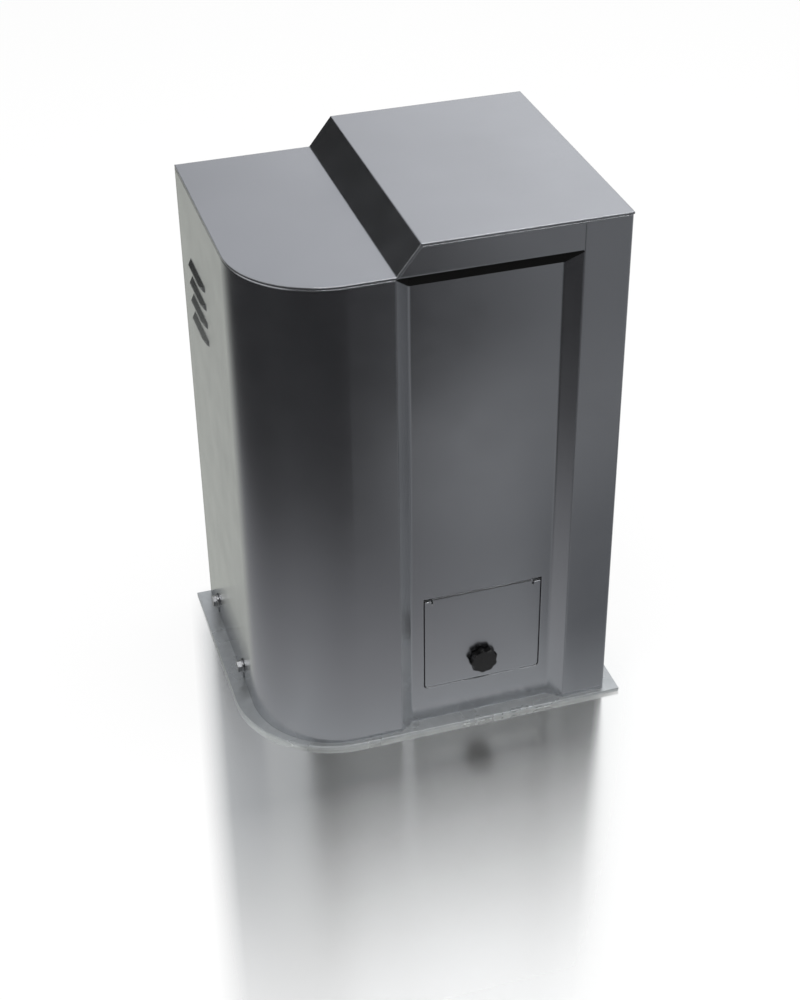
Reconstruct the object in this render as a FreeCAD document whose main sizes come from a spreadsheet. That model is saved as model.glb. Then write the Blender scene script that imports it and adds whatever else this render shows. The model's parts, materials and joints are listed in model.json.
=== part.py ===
"""Sliding gate motor: base plate, worm gearbox, vertical motor, controls and folded steel cover.

All lengths are millimetres. +Z is up, -Y is the front with the inspection door, +Y is the gate side,
where the pinion drives the rack. The origin is the centre of the base plate's underside.
"""
import FreeCAD
import Part
import Sketcher
import math
import os

from FreeCAD import Rotation, Vector

# Driving dimensions. Every one becomes a named cell of the sheet "Sizes".
VALUES = {
    # overall form of the cover and of the plate that it stands on
    "cover_length": 322, "cover_width": 264, "hood_height": 500, "low_height": 474,
    "side_overhang": 14, "front_overhang": 4, "rear_overhang": 2, "plate_thick": 4,
    "cover_sheet": 2, "corner_radius": 82, "fold_radius": 2.5, "bend_radius": 1.2, "edge_flange": 12,
    "slope_start": 122.5, "slope_run": 20.5,
    # pressed recess of the front panel
    "recess_start": 122, "recess_span": 158.5, "recess_depth": 9.5, "flank_run": 13, "press_radius": 4,
    # pressed louvres of the left wall, open at their lower edge and rounded towards the front
    "vent_front": 162, "vent_length": 57, "vent_top": 405, "vent_rise": 6.6, "vent_proud": 3,
    "vent_round": 19, "vent_skin": 1.2, "vent_pitch": 17.6, "vent_count": 4,
    # screws that hold the cover to its side brackets, and the slots that slide over them
    "screw_height": 22, "screw_front": 117, "screw_gap": 107, "screw_thread": 6, "screw_head": 10,
    "screw_head_thick": 4, "washer_size": 14, "washer_thick": 1.6, "slot_play": 1,
    # inspection door, its rolled hinge and its quarter-turn knob
    "door_centre": 202.5, "door_width": 110, "door_bottom": 42.5, "door_height": 98,
    "door_sheet": 2, "door_gap": 1, "door_tab": 96, "tab_relief": 1.5, "door_corner": 3,
    "hinge_rod": 2, "hinge_play": 0.1, "lug_width": 4, "lug_depth": 6, "lug_rise": 9,
    "knob_size": 27, "knob_thick": 6.4, "knob_rise": 22.5, "knob_bevel": 1.6, "knob_lobes": 9,
    "collar_size": 18, "collar_thick": 1.2, "stud_size": 6, "stud_play": 0.2, "flute_size": 7,
    "cam_length": 32, "cam_width": 13, "cam_thick": 2, "cam_play": 0.4, "cam_nut": 10, "cam_nut_thick": 4,
    # side brackets, anchor holes, levelling screws and cable entry of the base
    "bracket_front": 100, "bracket_length": 134, "bracket_rise": 34, "bracket_foot": 22,
    "bracket_sheet": 3, "wall_play": 0.3, "nut_size": 10, "nut_thick": 5,
    "anchor_hole": 13, "anchor_side": 115, "anchor_front": 95, "anchor_rear": 112,
    "level_size": 10, "level_rise": 24, "level_step": 26, "thread_play": 0.05,
    "entry_hole": 40, "entry_side": 55, "entry_front": 48, "grommet_lip": 5, "grommet_wall": 3,
    "earth_nut_pitch": 6.5, "earth_stud_length": 20,
    # gear train: a single-start worm, its wheel and the rack pinion
    "case_rise": 18, "gear_middle": 156, "gear_module": 4, "worm_size": 40, "wheel_teeth": 30,
    "wheel_width": 26, "worm_turns": 4, "pinion_teeth": 18, "pinion_width": 30, "pinion_gap": 7,
    "backlash": 0.6, "pinion_play": 0.3, "wheel_holes": 6, "shaft_size": 30, "worm_shaft": 20,
    "motor_shaft": 18, "key_width": 8, "key_height": 7, "pinion_hub": 50,
    # cast gear housing with its rear boss, front lid and feet
    "cast_wall": 7, "wheel_play": 3, "gear_half": 34, "rear_wall": 8, "lid_thick": 9, "foot_thick": 12,
    "foot_reach": 18, "seat_rise": 10, "foot_bolt": 10, "boss_size": 74, "boss_proud": 3, "slot_side_play": 3,
    "slot_rise": 58, "fit_play": 0.05, "bearing_width": 14, "big_bearing": 62, "big_bearing_width": 16,
    "low_bearing": 47, "high_bearing": 52, "top_bearing": 40, "top_bearing_width": 12, "seal_width": 7,
    "bolt_across": 17, "bolt_head": 6.4, "lid_screw": 10, "lid_screw_rise": 6, "lid_screw_socket": 5,
    # vertical motor
    "motor_size": 118, "fin_height": 8, "fin_thick": 2.6, "fin_count": 24, "stator_length": 132,
    "core_size": 104, "core_length": 70, "rotor_size": 62, "air_gap": 0.6, "winding_length": 18,
    "shield_thick": 14, "cowl_rise": 46, "cowl_wall": 2, "fan_size": 104, "fan_width": 16,
    "fan_blades": 9, "cowl_slots": 12, "rod_count": 4, "rotor_ring": 38,
    # release lever and clutch in front of the wheel
    "cap_size": 64, "cap_depth": 46, "cap_wall": 6, "spindle_size": 14, "lever_reach": 46,
    "lever_thick": 8, "lever_width": 18, "lever_hub": 34, "hub_depth": 26, "grip_size": 14, "grip_depth": 22,
    "clutch_size": 52, "clutch_depth": 14, "collar_width": 3, "disc_size": 34, "disc_thick": 2,
    "disc_pitch": 4, "disc_count": 4,
    # controls on an upright plate at the right
    "panel_side": 122, "panel_sheet": 2.5, "panel_front": 80, "panel_rear": 90, "panel_top": 462,
    "panel_tab": 30, "panel_foot": 20, "panel_edge": 12, "board_thick": 1.6, "board_width": 150,
    "board_height": 190, "board_bottom": 215, "standoff": 8, "coil_size": 92, "coil_bore": 34,
    "coil_thick": 38, "coil_height": 370, "coil_front": 28, "cap_can": 40, "cap_can_height": 96,
    "cap_can_bottom": 200, "cap_can_rear": 48, "clip_wall": 1.5, "terminal_count": 14,
    "relay_size": 16, "relay_height": 24, "relay_count": 3, "sink_fins": 7,
    # limit switch above the pinion
    "switch_height": 68, "switch_width": 30, "switch_depth": 32, "switch_rise": 26,
    "limit_reach": 58, "limit_coil": 9, "limit_wire": 3, "limit_tip": 12, "limit_setback": 14.4,
    "limit_mouth": 11.5, "limit_mouth_depth": 20, "limit_spring": 20, "limit_spring_start": 20,
}

document = FreeCAD.newDocument("sliding_gate_motor")
sub_parts = []


# ---------------------------------------------------------------- sizes that carry their formula
class Size:
    """A length or ratio that holds its value and the sheet formula which gives it."""

    def __init__(self, value, formula):
        self.value = float(value)
        self.formula = formula

    def __add__(self, other):
        other = size_of(other)
        return Size(self.value + other.value, f"({self.formula} + {other.formula})")

    def __sub__(self, other):
        other = size_of(other)
        return Size(self.value - other.value, f"({self.formula} - {other.formula})")

    def __mul__(self, other):
        other = size_of(other)
        return Size(self.value * other.value, f"({self.formula} * {other.formula})")

    def __truediv__(self, other):
        other = size_of(other)
        return Size(self.value / other.value, f"({self.formula} / {other.formula})")

    def __radd__(self, other):
        return size_of(other) + self

    def __rsub__(self, other):
        return size_of(other) - self

    def __rmul__(self, other):
        return size_of(other) * self

    def __neg__(self):
        return Size(-self.value, f"(0 - {self.formula})")

    def root(self):
        return Size(math.sqrt(self.value), f"sqrt({self.formula})")


def size_of(number):
    """A plain number counts as a size too."""
    if isinstance(number, Size):
        return number
    return Size(number, f"({number!r})")


class Sheet:
    """The driving dimensions, read as dim.alias."""

    def __init__(self, values):
        self.cells = document.addObject("Spreadsheet::Sheet", "Sizes")
        for row, (alias, value) in enumerate(values.items(), start=1):
            self.cells.set(f"A{row}", alias)
            self.cells.set(f"B{row}", str(value))
            self.cells.setAlias(f"B{row}", alias)
        document.recompute()

    def __getattr__(self, alias):
        return Size(VALUES[alias], f"Sizes.{alias}")


def cosine(degrees):
    """Cosine of a fixed angle, as a plain ratio."""
    return math.cos(math.radians(degrees))


def sine(degrees):
    """Sine of a fixed angle, as a plain ratio."""
    return math.sin(math.radians(degrees))


# ---------------------------------------------------------------- placing and binding
TURNS = {
    "z": Rotation(),
    "y": Rotation(Vector(1, 0, 0), -90),
    "x": Rotation(Vector(0, 1, 0), 90),
}


def bind(target, **sizes):
    """Set each property to its value and tie it to the sheet."""
    for name, size in sizes.items():
        size = size_of(size)
        setattr(target, name, size.value)
        target.setExpression(name, size.formula)


def place(target, spot, axis="z"):
    """Put an object at spot with its own Z along the named world axis."""
    spot = [size_of(coordinate) for coordinate in spot]
    target.Placement = FreeCAD.Placement(Vector(*[size.value for size in spot]), TURNS[axis])
    for letter, size in zip("xyz", spot):
        target.setExpression(f"Placement.Base.{letter}", size.formula)
    return target


def sub_part(target, label):
    """Name a finished piece and list it as one of the product's sub-parts."""
    target.Label = label
    sub_parts.append(target)
    document.recompute()
    return target


# ---------------------------------------------------------------- sketch outlines
def line_to(x, y):
    return (size_of(x), size_of(y), None, 0)


def arc_to(x, y, radius, turn):
    """An arc that ends at x, y; turn is 1 for anticlockwise and -1 for clockwise."""
    return (size_of(x), size_of(y), size_of(radius), turn)


def corner_points(start, end, radius, turn):
    """Centre of the short arc of a radius from start to end."""
    middle = (start + end) * 0.5
    half = (end - start).Length / 2
    rise = math.sqrt(max(radius * radius - half * half, 0))
    along = (end - start).normalize()
    return middle + Vector(-along.y, along.x, 0) * rise * turn


def add_loop(sketch, steps):
    """Draw one closed outline, with every corner and radius held by the sheet."""
    spots = [Vector(step[0].value, step[1].value, 0) for step in steps]
    first = sketch.GeometryCount
    for index, step in enumerate(steps):
        start = spots[index - 1]
        end = spots[index]
        if step[2] is None:
            sketch.addGeometry(Part.LineSegment(start, end), False)
            continue
        centre = corner_points(start, end, step[2].value, step[3])
        circle = Part.Circle(centre, Vector(0, 0, 1), step[2].value)
        low, high = (start, end) if step[3] > 0 else (end, start)
        begin = math.atan2(low.y - centre.y, low.x - centre.x)
        finish = math.atan2(high.y - centre.y, high.x - centre.x)
        if finish < begin:
            finish += 2 * math.pi
        sketch.addGeometry(Part.ArcOfCircle(circle, begin, finish), False)
    ends = [(2, 1) if step[3] >= 0 else (1, 2) for step in steps]
    for index, step in enumerate(steps):
        after = (index + 1) % len(steps)
        sketch.addConstraint(Sketcher.Constraint(
            "Coincident", first + index, ends[index][0], first + after, ends[after][1]))
        for kind, size in (("DistanceX", step[0]), ("DistanceY", step[1])):
            held = sketch.addConstraint(Sketcher.Constraint(
                kind, -1, 1, first + index, ends[index][0], size.value))
            sketch.setExpression(f"Constraints[{held}]", size.formula)
        if step[2] is not None:
            held = sketch.addConstraint(Sketcher.Constraint("Radius", first + index, step[2].value))
            sketch.setExpression(f"Constraints[{held}]", step[2].formula)


def add_circle(sketch, x, y, radius):
    """Draw one circle held by the sheet."""
    x, y, radius = size_of(x), size_of(y), size_of(radius)
    index = sketch.addGeometry(Part.Circle(Vector(x.value, y.value, 0), Vector(0, 0, 1), radius.value), False)
    for kind, size in (("DistanceX", x), ("DistanceY", y)):
        held = sketch.addConstraint(Sketcher.Constraint(kind, -1, 1, index, 3, size.value))
        sketch.setExpression(f"Constraints[{held}]", size.formula)
    held = sketch.addConstraint(Sketcher.Constraint("Radius", index, radius.value))
    sketch.setExpression(f"Constraints[{held}]", radius.formula)


def rectangle(x0, x1, y0, y1):
    return [line_to(x0, y0), line_to(x1, y0), line_to(x1, y1), line_to(x0, y1)]


def rounded(x0, x1, y0, y1, radius):
    """A rectangle with all four corners rounded."""
    x0, x1, y0, y1 = size_of(x0), size_of(x1), size_of(y0), size_of(y1)
    return [
        line_to(x1 - radius, y0), arc_to(x1, y0 + radius, radius, 1),
        line_to(x1, y1 - radius), arc_to(x1 - radius, y1, radius, 1),
        line_to(x0 + radius, y1), arc_to(x0, y1 - radius, radius, 1),
        line_to(x0, y0 + radius), arc_to(x0 + radius, y0, radius, 1),
    ]


# ---------------------------------------------------------------- PartDesign bodies
def new_body(label, spot=(0, 0, 0), axis="z"):
    body = document.addObject("PartDesign::Body", label)
    place(body, spot, axis)
    return body


def new_sketch(body, plane, offset, loops):
    """A sketch on one of the body's own origin planes, moved along the plane's normal."""
    sketch = body.newObject("Sketcher::SketchObject", "outline")
    support = [item for item in body.Origin.OriginFeatures if item.Role == plane][0]
    sketch.AttachmentSupport = [(support, "")]
    sketch.MapMode = "FlatFace"
    offset = size_of(offset)
    sketch.AttachmentOffset = FreeCAD.Placement(Vector(0, 0, offset.value), Rotation())
    sketch.setExpression("AttachmentOffset.Base.z", offset.formula)
    for loop in loops:
        if isinstance(loop, tuple):
            add_circle(sketch, *loop)
        else:
            add_loop(sketch, loop)
    return sketch


def pad(body, plane, loops, low, high):
    """Add material between two levels along the plane's world axis."""
    low, high = size_of(low), size_of(high)
    offset = -high if plane == "XZ_Plane" else low
    feature = body.newObject("PartDesign::Pad", "pad")
    feature.Profile = new_sketch(body, plane, offset, loops)
    bind(feature, Length=high - low)
    body.Tip = feature
    document.recompute()
    return feature


def pocket(body, plane, loops, low, high):
    """Cut material away between two levels and make sure that something was cut."""
    low, high = size_of(low), size_of(high)
    before = body.Shape.Volume
    offset = -low if plane == "XZ_Plane" else high
    feature = body.newObject("PartDesign::Pocket", "pocket")
    feature.Profile = new_sketch(body, plane, offset, loops)
    bind(feature, Length=high - low)
    body.Tip = feature
    document.recompute()
    if body.Shape.Volume > before - 0.001:
        raise RuntimeError(f"{body.Label}: a pocket cuts nothing")
    return feature


def turn(body, loop, groove=False):
    """Revolve an outline of radius against height around the body's own Z axis."""
    before = body.Shape.Volume if groove else 0
    kind = "PartDesign::Groove" if groove else "PartDesign::Revolution"
    feature = body.newObject(kind, "turned")
    sketch = new_sketch(body, "XZ_Plane", 0, [loop])
    feature.Profile = sketch
    feature.ReferenceAxis = (sketch, ["V_Axis"])
    feature.Angle = 360
    body.Tip = feature
    document.recompute()
    if groove and body.Shape.Volume > before - 0.001:
        raise RuntimeError(f"{body.Label}: a groove cuts nothing")
    return feature


def ring(body, feature, count):
    """Repeat a feature around the body's own Z axis."""
    pattern = body.newObject("PartDesign::PolarPattern", "ring")
    pattern.Originals = [feature]
    pattern.Axis = ([item for item in body.Origin.OriginFeatures if item.Role == "Z_Axis"][0], [""])
    pattern.Angle = 360
    pattern.Occurrences = int(count.value)
    pattern.setExpression("Occurrences", count.formula)
    body.Tip = pattern
    document.recompute()
    return pattern


def row(body, feature, axis, count, length, reverse=False):
    """Repeat a feature in a straight row of the given whole length."""
    pattern = body.newObject("PartDesign::LinearPattern", "row")
    pattern.Originals = [feature]
    pattern.Direction = ([item for item in body.Origin.OriginFeatures if item.Role == axis][0], [""])
    pattern.Reversed = reverse
    count = size_of(count)
    pattern.Occurrences = int(count.value)
    pattern.setExpression("Occurrences", count.formula)
    bind(pattern, Length=length)
    body.Tip = pattern
    document.recompute()
    return pattern


def soften(body, radius, chosen, kind="PartDesign::Fillet"):
    """Round or bevel the edges of the tip that the given test picks."""
    tip = body.Tip
    names = [f"Edge{number}" for number, edge in enumerate(tip.Shape.Edges, start=1) if chosen(edge)]
    if not names:
        raise RuntimeError(f"{body.Label}: no edge to soften")
    feature = body.newObject(kind, "softened")
    feature.Base = (tip, names)
    if kind == "PartDesign::Fillet":
        bind(feature, Radius=radius)
    else:
        bind(feature, Size=radius)
    body.Tip = feature
    document.recompute()
    return feature


def flat_at(edge, axis, level):
    """Whether an edge lies wholly at one level along an axis."""
    box = edge.BoundBox
    low = getattr(box, axis.upper() + "Min")
    high = getattr(box, axis.upper() + "Max")
    return abs(low - size_of(level).value) < 0.01 and abs(high - size_of(level).value) < 0.01


# ---------------------------------------------------------------- Part primitives
def cylinder(radius, height, spot=(0, 0, 0), axis="z"):
    solid = document.addObject("Part::Cylinder", "round")
    bind(solid, Radius=radius, Height=height)
    return place(solid, spot, axis)


def block(length, width, height, spot=(0, 0, 0)):
    """A box from spot, which is its lowest corner on every axis."""
    solid = document.addObject("Part::Box", "block")
    bind(solid, Length=length, Width=width, Height=height)
    return place(solid, spot)


def hex_head(across, height, spot=(0, 0, 0), axis="z"):
    solid = document.addObject("Part::Prism", "hexagon")
    solid.Polygon = 6
    bind(solid, Circumradius=size_of(across) / (2 * cosine(30)), Height=height)
    return place(solid, spot, axis)


def fused(pieces):
    whole = document.addObject("Part::MultiFuse", "joined")
    whole.Shapes = pieces
    document.recompute()
    return whole


def cut(base, tools):
    tool = tools[0] if len(tools) == 1 else fused(tools)
    rest = document.addObject("Part::Cut", "cut")
    rest.Base = base
    rest.Tool = tool
    document.recompute()
    return rest


def group(pieces):
    """Several separate solids of one kind, kept as one sub-part."""
    together = document.addObject("Part::Compound", "group")
    together.Links = pieces
    document.recompute()
    return together


dim = Sheet(VALUES)

# ---------------------------------------------------------------- shared planes and axes
base_length = dim.cover_length + dim.side_overhang * 2
base_width = dim.cover_width + dim.front_overhang + dim.rear_overhang
base_left = -base_length / 2
base_front = -base_width / 2
left = base_left + dim.side_overhang
right = left + dim.cover_length
front = base_front + dim.front_overhang
rear = front + dim.cover_width
floor = dim.plate_thick
low_under = dim.low_height - dim.cover_sheet
high_under = dim.hood_height - dim.cover_sheet
left_inside = left + dim.cover_sheet
right_inside = right - dim.cover_sheet
rear_inside = rear - dim.cover_sheet

# The slope of the hood, on the outside and on the underside of the top sheet.
slope_low = left + dim.slope_start
slope_high = slope_low + dim.slope_run
slope_rise = dim.hood_height - dim.low_height
slope_length = (dim.slope_run * dim.slope_run + slope_rise * slope_rise).root()
slope_shift = dim.cover_sheet * (slope_length - dim.slope_run) / slope_rise
under_low = slope_low + slope_shift
under_high = slope_high + slope_shift

# The pressed recess of the front panel.
recess_left = left + dim.recess_start
recess_right = recess_left + dim.recess_span
panel_out = front + dim.recess_depth
panel_in = panel_out + dim.cover_sheet
flank_length = (dim.flank_run * dim.flank_run + dim.recess_depth * dim.recess_depth).root()
flank_edge = dim.cover_sheet * flank_length / dim.flank_run
flank_shift = dim.cover_sheet * (flank_length - dim.flank_run) / dim.recess_depth

# The door, its hinge axis along X and its knob axis along Y.
door_x = left + dim.door_centre
door_left = door_x - dim.door_width / 2
door_right = door_x + dim.door_width / 2
door_in = panel_out + dim.door_sheet
curl_bore = dim.hinge_rod / 2 + dim.hinge_play
curl_radius = curl_bore + dim.door_sheet
hinge_y = panel_out + curl_radius
hinge_z = dim.door_bottom + dim.door_height
knob_z = dim.door_bottom + dim.knob_rise
opening_top = hinge_z + curl_radius + dim.door_gap / 2

# The gear train: the output shaft runs along Y, the worm and the motor stand along Z.
wheel_pitch = dim.gear_module * dim.wheel_teeth / 2
centre_distance = wheel_pitch + dim.worm_size / 2
shaft_x = door_x
worm_x = shaft_x - centre_distance
gear_y = front + dim.gear_middle
wheel_tip = wheel_pitch + dim.gear_module
cavity_radius = wheel_tip + dim.wheel_play
case_radius = cavity_radius + dim.cast_wall
case_bottom = dim.case_rise
shaft_z = case_bottom + case_radius
case_top = shaft_z + case_radius
seat_top = case_top + dim.seat_rise
case_front = gear_y - dim.gear_half
case_rear = gear_y + dim.gear_half
lid_front = case_front - dim.lid_thick
boss_end = rear + dim.boss_proud
switch_low = shaft_z + dim.switch_height
rod_circle = (dim.motor_size + dim.fin_height) / 2 + dim.screw_thread / 2
screw_spots = [front + dim.screw_front, front + dim.screw_front + dim.screw_gap]


# ---------------------------------------------------------------- base
def base_plate():
    """Flat steel plate with one large round corner, anchor holes and a cable entry."""
    body = new_body("base_plate")
    radius = dim.corner_radius + dim.side_overhang
    outline = [
        line_to(base_left, -base_front), line_to(base_left, base_front + radius),
        arc_to(base_left + radius, base_front, radius, 1),
        line_to(-base_left, base_front), line_to(-base_left, -base_front),
    ]
    pad(body, "XY_Plane", [outline], 0, floor)
    holes = [(x, y, dim.anchor_hole / 2) for x, y in anchor_spots()]
    holes += [(x, y, dim.level_size / 2 + dim.thread_play) for x, y in level_spots()]
    holes.append((left + dim.entry_side, -dim.entry_front, dim.entry_hole / 2))
    pocket(body, "XY_Plane", holes, 0, floor)
    return sub_part(body, "base_plate")


def anchor_spots():
    return [(x, y) for x in (-dim.anchor_side, dim.anchor_side) for y in (-dim.anchor_front, dim.anchor_rear)]


def level_spots():
    return [(x + dim.level_step, y) for x, y in anchor_spots()]


def levelling_screws():
    """Four set screws with a hexagon socket, turned down against the foundation to level the plate."""
    screws = []
    for x, y in level_spots():
        stem = cylinder(dim.level_size / 2, dim.level_rise, (x, y, 0))
        socket = hex_head(dim.level_size / 2, dim.level_size / 2, (x, y, dim.level_rise - dim.level_size / 2))
        screws.append(cut(stem, [socket]))
    return sub_part(group(screws), "levelling_screws")


def cable_grommet():
    """Rubber grommet that lines the cable entry, with a lip on top of the plate."""
    body = new_body("cable_grommet", (left + dim.entry_side, -dim.entry_front, 0))
    outer = dim.entry_hole / 2
    inner = outer - dim.grommet_wall
    lip = outer + dim.grommet_lip
    turn(body, [
        line_to(inner, 0), line_to(outer, 0), line_to(outer, floor), line_to(lip, floor),
        line_to(lip, floor + dim.grommet_wall / 2), line_to(inner, floor + dim.grommet_wall * 2),
    ])
    return sub_part(body, "cable_grommet")


def earth_stud():
    """Earth stud with two nuts beside the cable entry."""
    x = left + dim.entry_side + dim.entry_hole
    y = -dim.entry_front - dim.entry_hole / 2
    stud = cylinder(dim.screw_thread / 2, dim.earth_stud_length, (x, y, floor))
    nuts = [
        hex_head(dim.nut_size, dim.nut_thick, (x, y, floor + dim.earth_nut_pitch * step)) for step in range(2)
    ]
    return sub_part(fused([stud] + nuts), "earth_stud")


def side_bracket(side):
    """Folded angle on the plate, drilled for the cover screws; side is -1 at the left and 1 at the right."""
    label = "left_bracket" if side < 0 else "right_bracket"
    body = new_body(label)
    face = (left_inside if side < 0 else right_inside) - dim.wall_play * side
    inner = face - dim.bracket_sheet * side
    toe = face - dim.bracket_foot * side
    top = floor + dim.bracket_rise
    step = floor + dim.bracket_sheet
    profile = [
        line_to(face, floor), line_to(face, top), line_to(inner, top),
        line_to(inner, step), line_to(toe, step), line_to(toe, floor),
    ]
    start = front + dim.bracket_front
    end = start + dim.bracket_length
    pad(body, "XZ_Plane", [profile], start, end)
    low, high = (face, inner) if side < 0 else (inner, face)
    holes = [(y, dim.screw_height, dim.screw_thread / 2 + dim.fit_play) for y in screw_spots]
    pocket(body, "YZ_Plane", holes, low, high)
    reach = dim.bracket_sheet * 2
    soften(body, reach, lambda edge: edge.Length > 1 and flat_at(edge, "z", top)
           and edge.BoundBox.YLength < 0.01)
    return sub_part(body, label)


def cover_fasteners():
    """Hexagon screws with washers outside the cover and welded nuts inside the brackets."""
    screws, washers, nuts = [], [], []
    height = dim.screw_height
    bore_radius = dim.screw_thread / 2 + dim.fit_play
    inward = dim.wall_play + dim.bracket_sheet
    left_washer = left - dim.wall_play - dim.washer_thick
    left_nut = left_inside + inward
    right_washer = right + dim.wall_play
    right_head = right_washer + dim.washer_thick
    right_nut = right_inside - inward - dim.nut_thick
    sides = [
        (left_washer, left_washer - dim.screw_head_thick, left_nut, left_washer, left_nut + dim.nut_thick),
        (right_washer, right_head, right_nut, right_nut, right_head),
    ]
    for washer_low, head_low, nut_low, shank_low, shank_high in sides:
        for y in screw_spots:
            head = hex_head(dim.screw_head, dim.screw_head_thick, (head_low, y, height), "x")
            shank = cylinder(dim.screw_thread / 2, shank_high - shank_low, (shank_low, y, height), "x")
            screws.append(fused([head, shank]))
            washer = cylinder(dim.washer_size / 2, dim.washer_thick, (washer_low, y, height), "x")
            bore = cylinder(bore_radius, dim.washer_thick, (washer_low, y, height), "x")
            washers.append(cut(washer, [bore]))
            nut = hex_head(dim.nut_size, dim.nut_thick, (nut_low, y, height), "x")
            bore = cylinder(bore_radius, dim.nut_thick, (nut_low, y, height), "x")
            nuts.append(cut(nut, [bore]))
    sub_part(group(screws + washers), "cover_screws")
    return sub_part(group(nuts), "bracket_nuts")


# ---------------------------------------------------------------- cover
def screw_slot(y):
    """Slot open at the bottom edge, so that the cover lifts off its loosened screws."""
    half = dim.screw_thread / 2 + dim.slot_play
    return [
        line_to(y - half, floor), line_to(y + half, floor), line_to(y + half, dim.screw_height),
        arc_to(y, dim.screw_height + half, half, 1), arc_to(y - half, dim.screw_height, half, 1),
    ]


def louvres(body):
    """Row of louvres: sloping hoods pressed out of the left wall, with a slot behind each."""
    top = dim.vent_top
    rise = dim.vent_rise
    proud = dim.vent_proud
    low = top - rise
    tip = front + dim.vent_front
    back = tip + dim.vent_length
    straight = tip + dim.vent_round
    crest = left - proud
    middle = left + dim.cover_sheet / 2
    hood = [line_to(middle, top), line_to(left, top), line_to(crest, low), line_to(middle, low)]
    radius = (dim.vent_round * dim.vent_round + proud * proud) / (proud * 2)
    corner = [line_to(crest, tip), line_to(crest, straight), arc_to(left, tip, radius, 1)]
    shift = dim.vent_skin * (rise * rise + proud * proud).root() / rise
    head = top + (dim.cover_sheet - shift) * rise / proud
    slot = [line_to(crest + shift, low), line_to(left_inside, low), line_to(left_inside, head)]
    steps = [
        (pad, "XZ_Plane", hood, tip, back), (pocket, "XY_Plane", corner, low, top),
        (pocket, "XZ_Plane", slot, straight, back - dim.vent_skin),
    ]
    for make, plane, loop, start, end in steps:
        feature = make(body, plane, [loop], start, end)
        row(body, feature, "Z_Axis", dim.vent_count, dim.vent_pitch * (dim.vent_count - 1), reverse=True)


def cover_left_shell():
    """Left wall, large round corner and front strip in one bent sheet, with vents and screw slots."""
    body = new_body("cover_left_shell")
    radius = dim.corner_radius
    wall = dim.cover_sheet

    def wrap(depth):
        return [
            line_to(left, rear_inside), line_to(left, front + radius),
            arc_to(left + radius, front, radius, 1), line_to(recess_left, front),
            line_to(recess_left, front + depth), line_to(left + radius, front + depth),
            arc_to(left + depth, front + radius, radius - depth, -1), line_to(left + depth, rear_inside),
        ]

    pad(body, "XY_Plane", [wrap(wall)], floor, low_under)
    pad(body, "XY_Plane", [wrap(dim.edge_flange)], low_under - wall, low_under)

    def outer_rim(edge):
        if not flat_at(edge, "z", low_under):
            return False
        if hasattr(edge.Curve, "Radius"):
            return abs(edge.Curve.Radius - radius.value) < 0.01
        return flat_at(edge, "x", left) or flat_at(edge, "y", front)

    soften(body, dim.fold_radius - dim.bend_radius, outer_rim)
    louvres(body)
    pocket(body, "YZ_Plane", [screw_slot(y) for y in screw_spots], left, left_inside)
    return sub_part(body, "cover_left_shell")


def cover_right_shell():
    """Right wall and front column in one folded sheet."""
    body = new_body("cover_right_shell")
    wall = dim.cover_sheet
    fold = dim.fold_radius

    def wrap(depth):
        return [
            line_to(recess_right, front), line_to(right - fold, front),
            arc_to(right, front + fold, fold, 1), line_to(right, rear_inside),
            line_to(right - depth, rear_inside), line_to(right - depth, front + depth),
            line_to(recess_right, front + depth),
        ]

    pad(body, "XY_Plane", [wrap(wall)], floor, high_under)
    pad(body, "XY_Plane", [wrap(dim.edge_flange)], high_under - wall, high_under)

    def outer_rim(edge):
        if not flat_at(edge, "z", high_under):
            return False
        if hasattr(edge.Curve, "Radius"):
            return True
        return flat_at(edge, "x", right) or flat_at(edge, "y", front)

    soften(body, dim.fold_radius - dim.bend_radius, outer_rim)
    pocket(body, "YZ_Plane", [screw_slot(y) for y in screw_spots], right_inside, right)
    return sub_part(body, "cover_right_shell")


def cover_recess_panel():
    """Pressed front panel: two sloping flanks and a flat floor with the door opening."""
    body = new_body("cover_recess_panel")
    run = dim.flank_run
    outline = [
        line_to(recess_left, front), line_to(recess_left + run, panel_out),
        line_to(recess_right - run, panel_out), line_to(recess_right, front),
        line_to(recess_right, front + flank_edge), line_to(recess_right - run + flank_shift, panel_in),
        line_to(recess_left + run - flank_shift, panel_in), line_to(recess_left, front + flank_edge),
    ]
    pad(body, "XY_Plane", [outline], floor, low_under)
    upright = low_under - floor

    def pressed_edge(edge):
        return abs(edge.Length - upright.value) < 0.01 and flat_at(edge, "y", panel_out)

    soften(body, dim.press_radius, pressed_edge)
    gap = dim.door_gap
    radius = dim.door_corner
    opening_left = door_left - gap
    opening_right = door_right + gap
    low = dim.door_bottom - gap
    opening = [
        line_to(opening_right - radius, low), arc_to(opening_right, low + radius, radius, 1),
        line_to(opening_right, opening_top), line_to(opening_left, opening_top),
        line_to(opening_left, low + radius), arc_to(opening_left + radius, low, radius, 1),
    ]
    pocket(body, "XZ_Plane", [opening], panel_out, panel_in)
    return sub_part(body, "cover_recess_panel")


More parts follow.
